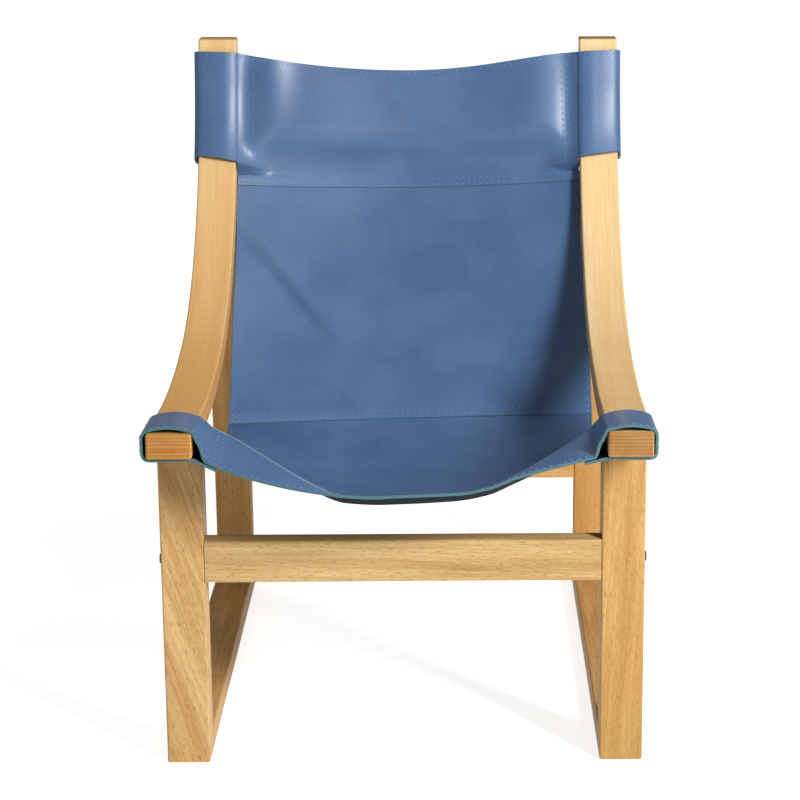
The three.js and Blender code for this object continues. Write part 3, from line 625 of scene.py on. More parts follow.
class SlingChairLeather(bpy.types.PropertyGroup):
    """Sizes and colours of the leather sling"""

    thickness: length_property("Thickness", "Thickness of the hide", 3.6, 1, 8)
    pore: length_property("Grain", "Width of one grain cell, drawn coarser than real", 2.4, 0.5, 8)
    colour: colour_property("Grain side", "Dyed and waxed grain side", "#516F96")
    shade: colour_property("Shade", "Darker dye in the grain side", "#415E86")
    bloom: colour_property("Bloom", "Paler wax bloom on the grain side", "#7A91B2")
    # A painted highlight, paler than the leather, along the crest of the seat's left fold
    painted_crest_highlight: colour_property("Rubbed fold", "Dye rubbed off along a sharp fold", "#A9B8B4")
    # Painted shade, darker than the leather, in the back panel's crease
    painted_crease_shade: colour_property("Creased grain", "Wax and dye darkened in a crease", "#2C425F")
    # The flesh side's dark blue is made near black as painted shade under the sheets
    flesh: colour_property("Flesh side", "Rough underside", "#1B2733")
    edge: colour_property("Cut edge", "Raw cut edge of the hide", "#4F797F")


class SlingChairStitching(bpy.types.PropertyGroup):
    """Sizes and colour of the stitching"""

    pitch: length_property("Pitch", "Distance from one stitch to the next", 8.6, 2, 20)
    length: length_property("Length", "Length of thread that shows in one stitch", 4.5, 1, 18)
    thread: length_property("Thread", "Thickness of the thread", 1.3, 0.3, 3)
    inset: length_property("Inset", "Distance from a cut edge to the nearest row", 3.4, 1, 12)
    row_gap: length_property("Row gap", "Distance between two rows of a double seam", 8.2, 2, 14)
    colour: colour_property("Thread colour", "Waxed thread", "#668EC3")


class SlingChairWood(bpy.types.PropertyGroup):
    """Colours of the frame's wood"""

    light: colour_property("Rail, pale", "Pale wood of the bent pieces", "#F8E0B2")
    dark: colour_property("Rail, dark", "Darker growth lines of the bent pieces", "#E0B272")
    aged: colour_property("Rail, aged", "Tint of the warmer wood low on the rails", "#ECC178")
    solid_light: colour_property("Leg, pale", "Pale wood of the straight pieces", "#DDB06F")
    solid_dark: colour_property(
        "Leg, dark", "Darker growth lines of the straight pieces", "#B57F44",
    )
    end: colour_property("End grain", "Tint of the cut ends, which soak up more oil", "#BAA590")
    pore: colour_property("Pores", "Open pores, darkened by oil", "#946537")
    glue: colour_property("Glue lines", "Joints between the laminations", "#9F6D3C")
    laminations: IntProperty(
        name="Laminations", description="Layers in a bent piece", default=7, min=2, max=16,
    )


class SlingChairStage(bpy.types.PropertyGroup):
    """Floor and light"""

    floor: colour_property("Floor", "Pale floor", "#F2F2F0")
    key: power_property("Key", "Power of the main lamp", 138)
    fill: power_property("Fill", "Power of the filling lamp", 5)
    back: power_property("Back", "Power of the lamp behind", 9)
    world: FloatProperty(name="Surroundings", description="Strength of the light all round",
                         default=0.18, min=0, max=2)


def node(tree, kind, inputs=None, **settings):
    """Add one node with its settings. An input takes a fixed value, a socket, or another node,
    which stands for the first of its outputs that is in use."""
    made = tree.nodes.new(kind)
    for name, value in settings.items():
        setattr(made, name, value)
    for key, value in (inputs or {}).items():
        if isinstance(value, bpy.types.Node):
            value = next(socket for socket in value.outputs if socket.enabled)
        if isinstance(value, bpy.types.NodeSocket):
            tree.links.new(value, made.inputs[key])
        else:
            made.inputs[key].default_value = value
    return made


def new_material(name):
    made = bpy.data.materials.new(name)
    made.use_nodes = True
    made.node_tree.nodes.clear()
    return made, made.node_tree


def leather_grain_material(look):
    """Full-grain saddle leather, drum dyed and waxed: soft sheen, fine pores, paler wax bloom.

    The dye clouds over a hand's breadth and the wax over three. Real grain cells are under 1 mm
    wide, too fine to show, so they are drawn as wide as the look says.
    """
    made, tree = new_material("dyed_saddle_leather")
    place = node(tree, "ShaderNodeTexCoord").outputs["Object"]
    clouds, bloom, fine = [
        node(tree, "ShaderNodeTexNoise", {
            "Vector": place, "Scale": per_metre(size), "Detail": detail, "Roughness": roughness,
        })
        for size, detail, roughness in (
            (110, 5.0, 0.6), (310, 3.0, 0.5), (2 * look.pore / MM, 4.0, 0.65),
        )
    ]
    cells = node(tree, "ShaderNodeTexVoronoi", {
        "Vector": place, "Scale": per_metre(look.pore / MM),
    }, feature="F1")
    dyed = node(tree, "ShaderNodeMapRange", {"Value": clouds, "From Min": 0.3, "From Max": 0.7})
    waxed = node(tree, "ShaderNodeMapRange", {
        "Value": bloom, "From Min": 0.5, "From Max": 0.85, "To Max": 0.4,
    })
    # Painted light along folds: a highlight on the seat's left crest above zero, shade in the back
    # panel's crease below zero
    fold_shading = node(tree, "ShaderNodeAttribute", attribute_name="fold_wear").outputs["Fac"]
    painted_crease_shade = node(tree, "ShaderNodeMapRange", {"Value": fold_shading, "From Max": -1.0})
    colour = look.shade
    for factor, tint in (
        (dyed, look.colour), (waxed, look.bloom), (fold_shading, look.painted_crest_highlight), (painted_crease_shade, look.painted_crease_shade),
    ):
        colour = node(tree, "ShaderNodeMix", {"Factor": factor, "A": colour, "B": tint},
                      data_type="RGBA")
    gloss = node(tree, "ShaderNodeMapRange", {"Value": fine, "To Min": 0.38, "To Max": 0.5})
    pores = node(tree, "ShaderNodeBump", {
        "Height": cells, "Strength": 0.12, "Distance": 0.4 * MM,
    })
    waves = node(tree, "ShaderNodeBump", {
        "Height": fine, "Normal": pores, "Strength": 0.25, "Distance": 0.8 * MM,
    })
    shader = node(tree, "ShaderNodeBsdfPrincipled", {
        "Base Color": colour, "Roughness": gloss, "Normal": waves,
        "IOR": 1.48, "Specular IOR Level": 0.35, "Sheen Weight": 0.02,
        "Coat Weight": 0.26, "Coat Roughness": 0.27, "Coat IOR": 1.5,
    })
    node(tree, "ShaderNodeOutputMaterial", {"Surface": shader})
    return made


def fibre_material(name, colour, width, noise, gaps, relief, finish):
    """Fine fibres all over a surface, of a width in millimetres, darker in their gaps.

    noise is the fibres' detail and roughness, gaps the gaps' share of the colour, relief the
    strength and height of the bumps, and finish what the shader takes as it is.
    """
    made, tree = new_material(name)
    place = node(tree, "ShaderNodeTexCoord").outputs["Object"]
    fibres = node(tree, "ShaderNodeTexNoise", {
        "Vector": place, "Scale": per_metre(width), "Detail": noise[0], "Roughness": noise[1],
    })
    dark = [part * gaps for part in colour[:3]] + [1.0]
    surface = dict(finish)
    surface["Base Color"] = node(tree, "ShaderNodeMix", {
        "Factor": fibres, "A": dark, "B": colour,
    }, data_type="RGBA")
    if relief:
        surface["Normal"] = node(tree, "ShaderNodeBump", {
            "Height": fibres, "Strength": relief[0], "Distance": relief[1] * MM,
        })
    shader = node(tree, "ShaderNodeBsdfPrincipled", surface)
    node(tree, "ShaderNodeOutputMaterial", {"Surface": shader})
    return made


def leather_flesh_material(look):
    """Flesh side of the hide, brushed: matt, with a short fibrous nap. Its colour is made near
    black as painted shade under the sheets.

    Its tufts are about 1 mm wide, and are drawn coarser so that they show.
    """
    return fibre_material("leather_flesh_side", look.flesh, 2.4, (4.0, 0.7), 0.7, (0.5, 0.6),
                          {"Roughness": 0.9, "Specular IOR Level": 0.1})


def leather_edge_material(look):
    """Raw cut edge of the hide: dye soaked in unevenly, so it is greener and paler.

    Its bundles of fibres are about 1 mm wide, and are drawn coarser so that they show.
    """
    return fibre_material("leather_cut_edge", look.edge, 3.3, (3.0, 0.6), 0.55, (0.4, 0.5),
                          {"Roughness": 0.75})


def thread_material(look):
    """Waxed polyester thread, twisted: a little brighter than the leather, with a soft shine.

    One twist of its strands is about 1.1 mm long.
    """
    return fibre_material("waxed_thread", look.colour, 1.1, (2.0, 0.5), 0.75, None,
                          {"Roughness": 0.5, "Sheen Weight": 0.1})


def bent_grain(tree, start, slope, stretches):
    """Wood coordinates that follow a bent piece: along it, across it, and behind its front.

    start is the front surface's first point as Y and Z in metres, slope its angle there, and
    stretches are lengths in metres with their turns, all from Y towards Z.
    """
    place = node(tree, "ShaderNodeTexCoord").outputs["Object"]
    flat = node(tree, "ShaderNodeVectorMath", {0: place, 1: (0, 1, 1)}, operation="MULTIPLY")
    corner = np.array([0, *start])
    passed = 0.0
    followed = None
    for length, turn in stretches:
        onward, after = [
            (np.array([0, math.cos(angle), math.sin(angle)]),
             np.array([0, math.sin(angle), -math.cos(angle)]))
            for angle in (slope, slope + turn)
        ]
        off = node(tree, "ShaderNodeVectorMath", {0: flat, 1: corner}, operation="SUBTRACT")
        ahead = node(tree, "ShaderNodeVectorMath", {0: off, 1: onward[0]},
                     operation="DOT_PRODUCT")
        if turn:
            radius = length / turn
            centre = corner - onward[1] * radius
            from_centre = node(tree, "ShaderNodeVectorMath", {0: flat, 1: centre},
                               operation="SUBTRACT")
            reach = node(tree, "ShaderNodeVectorMath", {0: from_centre}, operation="LENGTH")
            depth = node(tree, "ShaderNodeMath", {0: reach, 1: radius}, operation="SUBTRACT")
            sine = node(tree, "ShaderNodeMath", {0: ahead, 1: reach}, operation="DIVIDE")
            turned = node(tree, "ShaderNodeMath", {0: sine}, operation="ARCSINE")
            along = node(tree, "ShaderNodeMath", {0: turned, 1: radius, 2: passed},
                         operation="MULTIPLY_ADD")
            corner = centre + after[1] * radius
        else:
            depth = node(tree, "ShaderNodeVectorMath", {0: off, 1: onward[1]},
                         operation="DOT_PRODUCT")
            along = node(tree, "ShaderNodeMath", {0: ahead, 1: passed}, operation="ADD")
            corner = corner + onward[0] * length
        if followed:
            past = node(tree, "ShaderNodeMath", {0: ahead, 1: 0.0}, operation="GREATER_THAN")
            followed = [
                node(tree, "ShaderNodeMix", {"Factor": past, "A": before, "B": now})
                for before, now in zip(followed, (along, depth))
            ]
        else:
            followed = [along, depth]
        slope += turn
        passed += length
    return followed[0], node(tree, "ShaderNodeSeparateXYZ", {"Vector": place}), followed[1]


def rail_grain(tree):
    stretches = [(length * MM, turn) for length, turn in RAIL_STRETCHES]
    return bent_grain(tree, (FRONT_Y * MM, RAIL_FRONT_HEIGHT * MM), -STUB_FALL, stretches)


def rear_leg_grain(tree):
    """Grain up the rear leg from the floor, its front face first."""
    front = (REAR_Y - STOCK_THICKNESS) * MM
    radius = (REAR_LEG_RADIUS - STOCK_THICKNESS / 2) * MM
    stretches = [(REAR_LEG_STRAIGHT * MM, 0.0), (radius * REAR_LEG_TURN, REAR_LEG_TURN)]
    return bent_grain(tree, (front, 0.0), math.pi / 2, stretches)


def straight_grain(axis, slope):
    """Wood coordinates of a straight piece, its grain along one axis or a little askew."""
    def grain(tree):
        place = node(tree, "ShaderNodeTexCoord").outputs["Object"]
        x, y, z = node(tree, "ShaderNodeSeparateXYZ", {"Vector": place}).outputs
        along, across, depth = {"X": (x, z, y), "Y": (y, z, x), "Z": (z, x, y)}[axis]
        askew = node(tree, "ShaderNodeMath", {0: along, 1: slope, 2: across},
                     operation="MULTIPLY_ADD")
        return along, askew, depth

    return grain


def wood_material(name, look, grain, shift, warmth, tint=(1, 1, 1), layers=0, ends=0, aged=None):
    """Oiled hardwood, planed and sanded: growth lines, streaks and short dark pores.

    grain gives the coordinates that follow the wood. shift moves its figure, so that no two
    pieces are alike, warmth is how far its darker patches go, and tint how its colour differs
    from the others'. layers is the number of laminations, or 0 for solid wood. The other two are
    for a rail: ends is how dark its cut ends are, and aged how warm its lower part is, and the
    metres along it between which that fades into the pale upper part, whose pores are faint.
    """
    made, tree = new_material(name)
    along, across, depth = grain(tree)
    tones = (look.light, look.dark) if aged else (look.solid_light, look.solid_dark)
    pale, dark = [[*(part * more for part, more in zip(tone, tint)), 1] for tone in tones]
    place = node(tree, "ShaderNodeCombineXYZ", {"X": along, "Y": across, "Z": depth})
    # Each mark's length and width in millimetres. Real pores are some 0.3 mm wide, too fine to
    # show, so they are drawn at 1.3 mm.
    growth, streaks, pores, patches = [
        node(tree, "ShaderNodeTexNoise", {"Vector": node(tree, "ShaderNodeVectorMath", {
            0: place, 1: (per_metre(length), per_metre(width), per_metre(width)),
            2: (0, shift * per_metre(width), 0),
        }, operation="MULTIPLY_ADD"), "Scale": 1.0, **kind})
        for length, width, kind in (
            (450, 24, {"Detail": 4.0, "Roughness": 0.55, "Distortion": 0.6}),
            (110, 3, {"Detail": 3.0, "Roughness": 0.6}),
            (9, 1.3, {"Detail": 2.0, "Roughness": 0.5}),
            (900, 110, {"Detail": 2.0, "Roughness": 0.5}),
        )
    ]
    rings = node(tree, "ShaderNodeMapRange", {
        "Value": node(tree, "ShaderNodeMix", {"Factor": 0.38, "A": growth, "B": streaks}),
        "From Min": 0.36, "From Max": 0.66,
    })
    warm = node(tree, "ShaderNodeMapRange", {
        "Value": patches, "From Min": 0.4, "From Max": 0.7, "To Max": warmth,
    })
    tints = [(rings, dark, "MIX"), (warm, dark, "MIX")]
    if aged:
        tints.append((node(tree, "ShaderNodeMapRange", {
            "Value": along, "From Min": aged[1], "From Max": aged[2], "To Min": aged[0],
            "To Max": 0.0,
        }), look.aged, "MULTIPLY"))
    tints.append((node(tree, "ShaderNodeMapRange", {
        "Value": pores, "From Min": 0.56, "From Max": 0.68, "To Max": 0.15 if aged else 0.6,
    }), look.pore, "MIX"))
    if layers:
        # Held within the stock, so that no glue line shows on a bend's faceted faces
        counted = node(tree, "ShaderNodeClamp", {
            "Value": node(tree, "ShaderNodeMath", {0: depth, 1: STOCK_THICKNESS * MM / layers},
                          operation="DIVIDE"),
            "Min": 0.25, "Max": layers - 0.25,
        })
        # Each layer draws its tone by its number, in another series for each piece
        layer = node(tree, "ShaderNodeMath", {0: counted}, operation="FLOOR")
        tone = node(tree, "ShaderNodeTexWhiteNoise", {
            "W": node(tree, "ShaderNodeMath", {0: layer, 1: shift * 97}, operation="ADD"),
        }, noise_dimensions="1D")
        shade = node(tree, "ShaderNodeMapRange", {"Value": tone, "To Min": 0.0, "To Max": 0.6})
        from_joint = node(tree, "ShaderNodeMath", {0: counted, 1: 0.5}, operation="PINGPONG")
        joint = node(tree, "ShaderNodeMapRange", {
            "Value": from_joint, "From Min": 0.12, "From Max": 0.01, "To Max": 0.85,
        })
        tints += [(shade, dark, "MIX"), (joint, look.glue, "MIX")]
    if ends:
        half = RAIL_LENGTH * MM / 2
        inside = node(tree, "ShaderNodeMath", {0: along, 1: half, 2: half - END_SKIN * MM},
                      operation="COMPARE")
        cut = node(tree, "ShaderNodeMapRange", {"Value": inside, "To Min": ends, "To Max": 0.0})
        tints.append((cut, look.end, "MULTIPLY"))
    colour = pale
    for factor, tone, blend in tints:
        colour = node(tree, "ShaderNodeMix", {"Factor": factor, "A": colour, "B": tone},
                      data_type="RGBA", blend_type=blend)
    bump = node(tree, "ShaderNodeBump", {
        "Height": pores, "Strength": 0.12, "Distance": 0.3 * MM,
    }, invert=True)
    gloss = node(tree, "ShaderNodeMapRange", {"Value": streaks, "To Min": 0.42, "To Max": 0.58})
    shader = node(tree, "ShaderNodeBsdfPrincipled", {
        "Base Color": colour, "Roughness": gloss, "Normal": bump, "IOR": 1.5,
        "Specular IOR Level": 0.15,
    })
    node(tree, "ShaderNodeOutputMaterial", {"Surface": shader})
    return made


def steel_material(name, colour, roughness):
    """Turned steel with a thin finish: a dull shine, uneven from the turning tool's marks.

    Such marks are 0.2 mm apart, too fine to show, so they are drawn at 1.4 mm.
    """
    made, tree = new_material(name)
    place = node(tree, "ShaderNodeTexCoord").outputs["Object"]
    marks = node(tree, "ShaderNodeTexNoise", {
        "Vector": place, "Scale": per_metre(1.4), "Detail": 2.0,
    })
    gloss = node(tree, "ShaderNodeMapRange", {
        "Value": marks, "To Min": roughness - 0.08, "To Max": roughness + 0.1,
    })
    shader = node(tree, "ShaderNodeBsdfPrincipled", {
        "Roughness": gloss, "Base Color": paint(colour), "Metallic": 1.0,
    })
    node(tree, "ShaderNodeOutputMaterial", {"Surface": shader})
    return made


def dress(name, surface):
    """Give a solid of the frame its material."""
    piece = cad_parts[name]
    if not piece.material_slots:
        piece.data.materials.append(surface)
    for place in piece.material_slots:
        place.material = surface


def place_object(name, data):
    """An object for a mesh, lamp or camera, in the scene and at the origin."""
    made = bpy.data.objects.new(name, data)
    bpy.context.scene.collection.objects.link(made)
    return made


def sling_piece(name, mesh):
    """A finished piece of the sling, which rides on the chair's one body."""
    piece = place_object(name, mesh)
    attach(piece, "root")
    return piece


def sheet_piece(context, name, grid, lifts=0.0, painted_shading=None, lapped=True):
    """A closed sheet of leather on a grid, its grain side outwards, with rounded cut edges.

    lifts is how far each row lies above the grid, in millimetres. Where the first rows are a
    lap, they are pared thin towards the cut edge from the grain side. The shading that may come
    with the grid is painted light at each of its points: a painted highlight above zero, and
    painted shade below it. With the piece come the points of its grain side and their normals.
    """
    rows, columns, _ = grid.shape
    normals = grid_normals(grid)
    thickness = context.scene.sling_chair_leather.thickness / MM
    pared = np.ones(rows)
    if lapped:
        pared[:LAP_ROWS] = LAP_THICKNESS
    half = thickness / 2 * pared[:, None, None]
    lifts = (lifts - (1 - pared) * thickness / 2)[:, None, None]
    grain_side = grid + normals * (lifts + half)
    flesh_side = grid + normals * (lifts - half)
    present = ~np.isnan(grid[..., 0])
    count = int(present.sum())
    number = np.full((rows, columns), -1)
    number[present] = np.arange(count)
    corners = [number[:-1, :-1], number[:-1, 1:], number[1:, 1:], number[1:, :-1]]
    whole = np.all([corner >= 0 for corner in corners], axis=0)
    cells = np.stack([corner[whole] for corner in corners], axis=-1)
    edges = {}
    for ring in cells:
        for place in range(4):
            start, end = int(ring[place]), int(ring[(place + 1) % 4])
            if edges.pop((end, start), None) is None:
                edges[(start, end)] = True
    middle = (grid + normals * lifts)[present]
    upright = normals[present]
    outward = np.zeros((count, 3))
    for start, end in edges:
        way = np.cross(middle[end] - middle[start], upright[start])
        outward[start] += way
        outward[end] += way
    outward = outward / np.maximum(np.linalg.norm(outward, axis=1, keepdims=True), 1e-9)
    rim = sorted({place for edge in edges for place in edge})
    rim_number = {place: 2 * count + index for index, place in enumerate(rim)}
    rim_points = middle[rim] + outward[rim] * EDGE_BULGE
    vertices = np.concatenate([grain_side[present], flesh_side[present], rim_points]) * MM
    faces = [tuple(ring) for ring in cells.tolist()]
    faces += [tuple(place + count for place in reversed(ring)) for ring in cells.tolist()]
    kinds = [0] * len(cells) + [1] * len(cells)
    for start, end in edges:
        faces.append((start, rim_number[start], rim_number[end], end))
        faces.append((rim_number[start], start + count, end + count, rim_number[end]))
        kinds += [2, 2]
    mesh = bpy.data.meshes.new(name)
    mesh.from_pydata(vertices.tolist(), [], faces)
    for surface in leather_materials(context):
        mesh.materials.append(surface)
    mesh.polygons.foreach_set("material_index", kinds)
    mesh.polygons.foreach_set("use_smooth", [True] * len(faces))
    # Painted highlight and painted shade, kept on the grain side's points for its colour
    if painted_shading is not None:
        fold_shading = np.concatenate([painted_shading[present], np.zeros(count + len(rim))])
        mesh.attributes.new("fold_wear", "FLOAT", "POINT").data.foreach_set("value", fold_shading)
    mesh.update()
    mesh.set_sharp_from_angle(angle=SHARP_ANGLE)
    return sling_piece(name, mesh), grain_side, normals


def inset(line, order, distance):
    """Where a line of points has run a distance in millimetres, in an order of their numbers."""
    steps = np.linalg.norm(np.diff(line[order], axis=0), axis=1)
    return np.interp(distance, np.concatenate([[0], np.cumsum(steps)]), order.astype(float))


def inset_rows(grid, columns, distance, from_end=False):
    """Row numbers, one for each column, at a distance from the sheet's first or last row."""
    found = []
    for column in columns:
        order = np.where(~np.isnan(grid[:, column, 0]))[0]
        found.append(inset(grid[:, column], order[::-1] if from_end else order, distance))
    return np.array(found)


def inset_columns(grid, rows, distance, side, middle=(SLEEVE_WIDTH, LAST_MIDDLE)):
    """Column numbers, one for each row, at a distance from one side of the sheet's middle."""
    order = np.arange(middle[0], middle[1] + 1)[::-side]
    return np.array([inset(grid[row], order, distance) for row in rows])


def on_sheet(grid, normals, rows, columns, lift):
    """Points and normals at fractional rows and columns of a sheet."""
    low_row = np.clip(np.floor(rows).astype(int), 0, grid.shape[0] - 2)
    low_column = np.clip(np.floor(columns).astype(int), 0, grid.shape[1] - 2)

    def blended(values):
        values = np.nan_to_num(values)
        near, far = [
            between(values[row, low_column], values[row, low_column + 1],
                    (columns - low_column)[:, None])
            for row in (low_row, low_row + 1)
        ]
        return between(near, far, (rows - low_row)[:, None])

    up = blended(normals)
    up = up / np.maximum(np.linalg.norm(up, axis=1, keepdims=True), 1e-9)
    return blended(grid) + up * lift, up


def stitch_tree():
    """Geometry Nodes that lay one thread stitch after another along guide lines."""
    tree = bpy.data.node_groups.new("stitch_rows", "GeometryNodeTree")
    face = tree.interface
    face.new_socket("Guides", in_out="INPUT", socket_type="NodeSocketGeometry")
    for name in ("Pitch", "Stitch length", "Thread thickness"):
        face.new_socket(name, in_out="INPUT", socket_type="NodeSocketFloat")
    face.new_socket("Thread", in_out="INPUT", socket_type="NodeSocketMaterial")
    face.new_socket("Stitches", in_out="OUTPUT", socket_type="NodeSocketGeometry")
    given = node(tree, "NodeGroupInput").outputs
    line = node(tree, "GeometryNodeMeshToCurve", {"Mesh": given["Guides"]})
    spaced = node(tree, "GeometryNodeResampleCurve", {"Curve": line, "Length": given["Pitch"]},
                  mode="LENGTH")
    surface = node(tree, "GeometryNodeInputNamedAttribute", {"Name": "surface_normal"},
                   data_type="FLOAT_VECTOR")
    turn = node(tree, "FunctionNodeAxesToRotation", {
        "Primary Axis": node(tree, "GeometryNodeInputTangent"), "Secondary Axis": surface,
    }, primary_axis="X", secondary_axis="Z")
    bead = node(tree, "GeometryNodeMeshUVSphere", {"Segments": 6, "Rings": 5, "Radius": 0.5})
    thickness = given["Thread thickness"]
    thick = node(tree, "ShaderNodeCombineXYZ", {
        "X": given["Stitch length"], "Y": thickness, "Z": thickness,
    })
    placed = node(tree, "GeometryNodeInstanceOnPoints", {
        "Points": spaced, "Instance": bead, "Rotation": turn, "Scale": thick,
    })
    real = node(tree, "GeometryNodeRealizeInstances", {"Geometry": placed})
    smooth = node(tree, "GeometryNodeSetShadeSmooth", {"Geometry": real})
    coated = node(tree, "GeometryNodeSetMaterial", {
        "Geometry": smooth, "Material": given["Thread"],
    })
    node(tree, "NodeGroupOutput", {"Stitches": coated})
    return tree


def stitch_piece(context, name, line, normals, seams):
    """Stitches on a sheet's grain side, along seams given as their row and column numbers."""
    look = context.scene.sling_chair_stitching
    vertices, edges, ups = [], [], []
    for seam_rows, seam_columns in seams:
        points, up = on_sheet(line, normals, seam_rows, seam_columns, THREAD_LIFT)
        first = len(vertices)
        vertices += (points * MM).tolist()
        ups += up.tolist()
        edges += [(first + step, first + step + 1) for step in range(len(points) - 1)]
    mesh = bpy.data.meshes.new(f"{name}_guides")
    mesh.from_pydata(vertices, edges, [])
    attribute = mesh.attributes.new("surface_normal", "FLOAT_VECTOR", "POINT")
    attribute.data.foreach_set("vector", np.array(ups).ravel())
    guides = place_object(f"{name}_guides", mesh)
    tree = bpy.data.node_groups.get("stitch_rows") or stitch_tree()
    modifier = guides.modifiers.new("stitches", "NODES")
    modifier.node_group = tree
    chosen = {
        "Pitch": look.pitch, "Stitch length": look.length, "Thread thickness": look.thread,
        "Thread": bpy.data.materials.get("waxed_thread") or thread_material(look),
    }
    for item in tree.interface.items_tree:
        if item.in_out == "INPUT" and item.name in chosen:
            modifier[item.identifier] = chosen[item.name]
    shown = guides.evaluated_get(bpy.context.evaluated_depsgraph_get())
    made = bpy.data.meshes.new_from_object(shown)
    made.name = name
    guides.modifiers.clear()
    bpy.data.objects.remove(guides)
    bpy.data.meshes.remove(mesh)
    return sling_piece(name, made)


def leather_materials(context):
    """The three faces of the hide, made once and shared by the panels."""
    look = context.scene.sling_chair_leather
    names = ("dyed_saddle_leather", "leather_flesh_side", "leather_cut_edge")
    makers = (leather_grain_material, leather_flesh_material, leather_edge_material)
    return [
        bpy.data.materials.get(name) or maker(look) for name, maker in zip(names, makers)
    ]


class SLINGCHAIR_OT_camera(bpy.types.Operator):
    """Set the camera at the photograph's place, height and angle"""

    bl_idname = "sling_chair.camera"
    bl_label = "Camera"

    def execute(self, context):
        data = bpy.data.cameras.new("camera")
        data.sensor_width = 36
        data.lens = CAMERA_LENS
        data.shift_x, data.shift_y = CAMERA_SHIFT
        data.clip_end = 60
        camera = place_object("camera", data)
        camera.location = CAMERA_PLACE
        camera.rotation_euler = (CAMERA_TILT, 0, CAMERA_TURN)
        context.scene.camera = camera
        return {"FINISHED"}


class SLINGCHAIR_OT_stage(bpy.types.Operator):
    """Lay the pale floor and set the lamps and the surroundings"""

    bl_idname = "sling_chair.stage"
    bl_label = "Floor and light"

    def execute(self, context):
        look = context.scene.sling_chair_stage
        mesh = bpy.data.meshes.new("floor")
        corners = ((-1, -1), (1, -1), (1, 1), (-1, 1))
        mesh.from_pydata(
            [(x * FLOOR_REACH, y * FLOOR_REACH, FLOOR_LEVEL) for x, y in corners],
            [], [(0, 1, 2, 3)],
        )
        mesh.materials.append(self.floor_material(look.floor))
        place_object("floor", mesh)
        for name, lamp in LAMPS.items():
            self.lamp(f"{name}_light", getattr(look, name), **lamp)
        self.surroundings(context, look.world)
        context.scene.view_settings.view_transform = "Standard"
        return {"FINISHED"}

    def floor_material(self, colour):
        """A matt pale floor that the camera, gloss and glass see as nearly white, a little more
        so away from the chair, while it gives the chair no light of its own."""
        made, tree = new_material("pale_floor")
        place = node(tree, "ShaderNodeTexCoord").outputs["Object"]
        away = node(tree, "ShaderNodeVectorMath", {0: place}, operation="LENGTH")
        bright = node(tree, "ShaderNodeMapRange", {
            "Value": away, "From Min": 0.9, "From Max": 3.2, "To Min": 0.78, "To Max": 0.92,
        })
        glow = node(tree, "ShaderNodeEmission", {"Strength": bright, "Color": WHITE})
        seen = self.seen(tree, "Is Camera Ray", "Is Glossy Ray", "Is Transmission Ray")
        lift = node(tree, "ShaderNodeMixShader", {"Fac": seen, 2: glow})
        matt = node(tree, "ShaderNodeBsdfDiffuse", {"Color": colour})
        both = node(tree, "ShaderNodeAddShader", {0: matt, 1: lift})
        node(tree, "ShaderNodeOutputMaterial", {"Surface": both})
        return made

    def seen(self, tree, *rays):
        """1 for the rays named, and 0 for the others."""
        path = node(tree, "ShaderNodeLightPath")
        total = path.outputs[rays[0]]
        for ray in rays[1:]:
            total = node(tree, "ShaderNodeMath", {0: total, 1: path.outputs[ray]},
                         operation="MAXIMUM")
        return total

    def lamp(self, name, power, size, place):
        data = bpy.data.lights.new(name, "AREA")
        data.energy = power
        data.shape = "RECTANGLE"
        data.size, data.size_y = size
        lamp = place_object(name, data)
        lamp.location = place
        x, y, z = -place[0], -place[1], AIM_HEIGHT - place[2]
        lamp.rotation_euler = (
            math.atan2(math.hypot(x, y), -z), 0, math.atan2(y, x) - math.pi / 2,
        )

    def surroundings(self, context, strength):
        world = bpy.data.worlds.new("soft_studio")
        world.use_nodes = True
        context.scene.world = world
        tree = world.node_tree
        tree.nodes.clear()
        lit, white = [
            node(tree, "ShaderNodeBackground", {"Color": WHITE, "Strength": level})
            for level in (strength, 1.0)
        ]
        seen = self.seen(tree, "Is Camera Ray", "Is Transmission Ray")
        mixed = node(tree, "ShaderNodeMixShader", {"Fac": seen, 1: lit, 2: white})
        node(tree, "ShaderNodeOutputWorld", {"Surface": mixed})


class SLINGCHAIR_OT_bent_wood(bpy.types.Operator):
    """Finish the bent rails and rear legs in laminated wood whose grain follows the bend"""

    bl_idname = "sling_chair.bent_wood"
    bl_label = "Bent rails and rear legs"

    def execute(self, context):
        look = context.scene.sling_chair_wood
        layers = look.laminations
        # As wood_material takes them: shift, warmth, tint, layers, and a rail's ends and age
        # The right rail's cut end, in the key lamp's light, is darkened more than the left's:
        # painted shade on top of the end grain's own darker tone
        rails = {
            "left": (0.31, 0.15, (1, 1.01, 1.03), layers, 0.65, (1.0, 0.35, 0.85)),
            "right": (1.27, 0.0, (0.97, 1.07, 1.2), layers, 1.0, (0.5, 0.3, 0.62)),
        }
        # The rear legs' tints lift their colour as painted light, the left leg's most, as it stands
        # in the sling's shadow
        legs = {
            "left": (4.41, 0.4, (1.42, 1.52, 1.68), layers),
            "right": (5.37, 0.4, (1.12, 1.14, 1.1), layers),
        }
        for side in rails:
            dress(f"{side}_bent_rail", wood_material(
                f"bent_rail_{side}", look, rail_grain, *rails[side]))
            dress(f"{side}_rear_leg", wood_material(
                f"rear_leg_{side}", look, rear_leg_grain, *legs[side]))
        return {"FINISHED"}


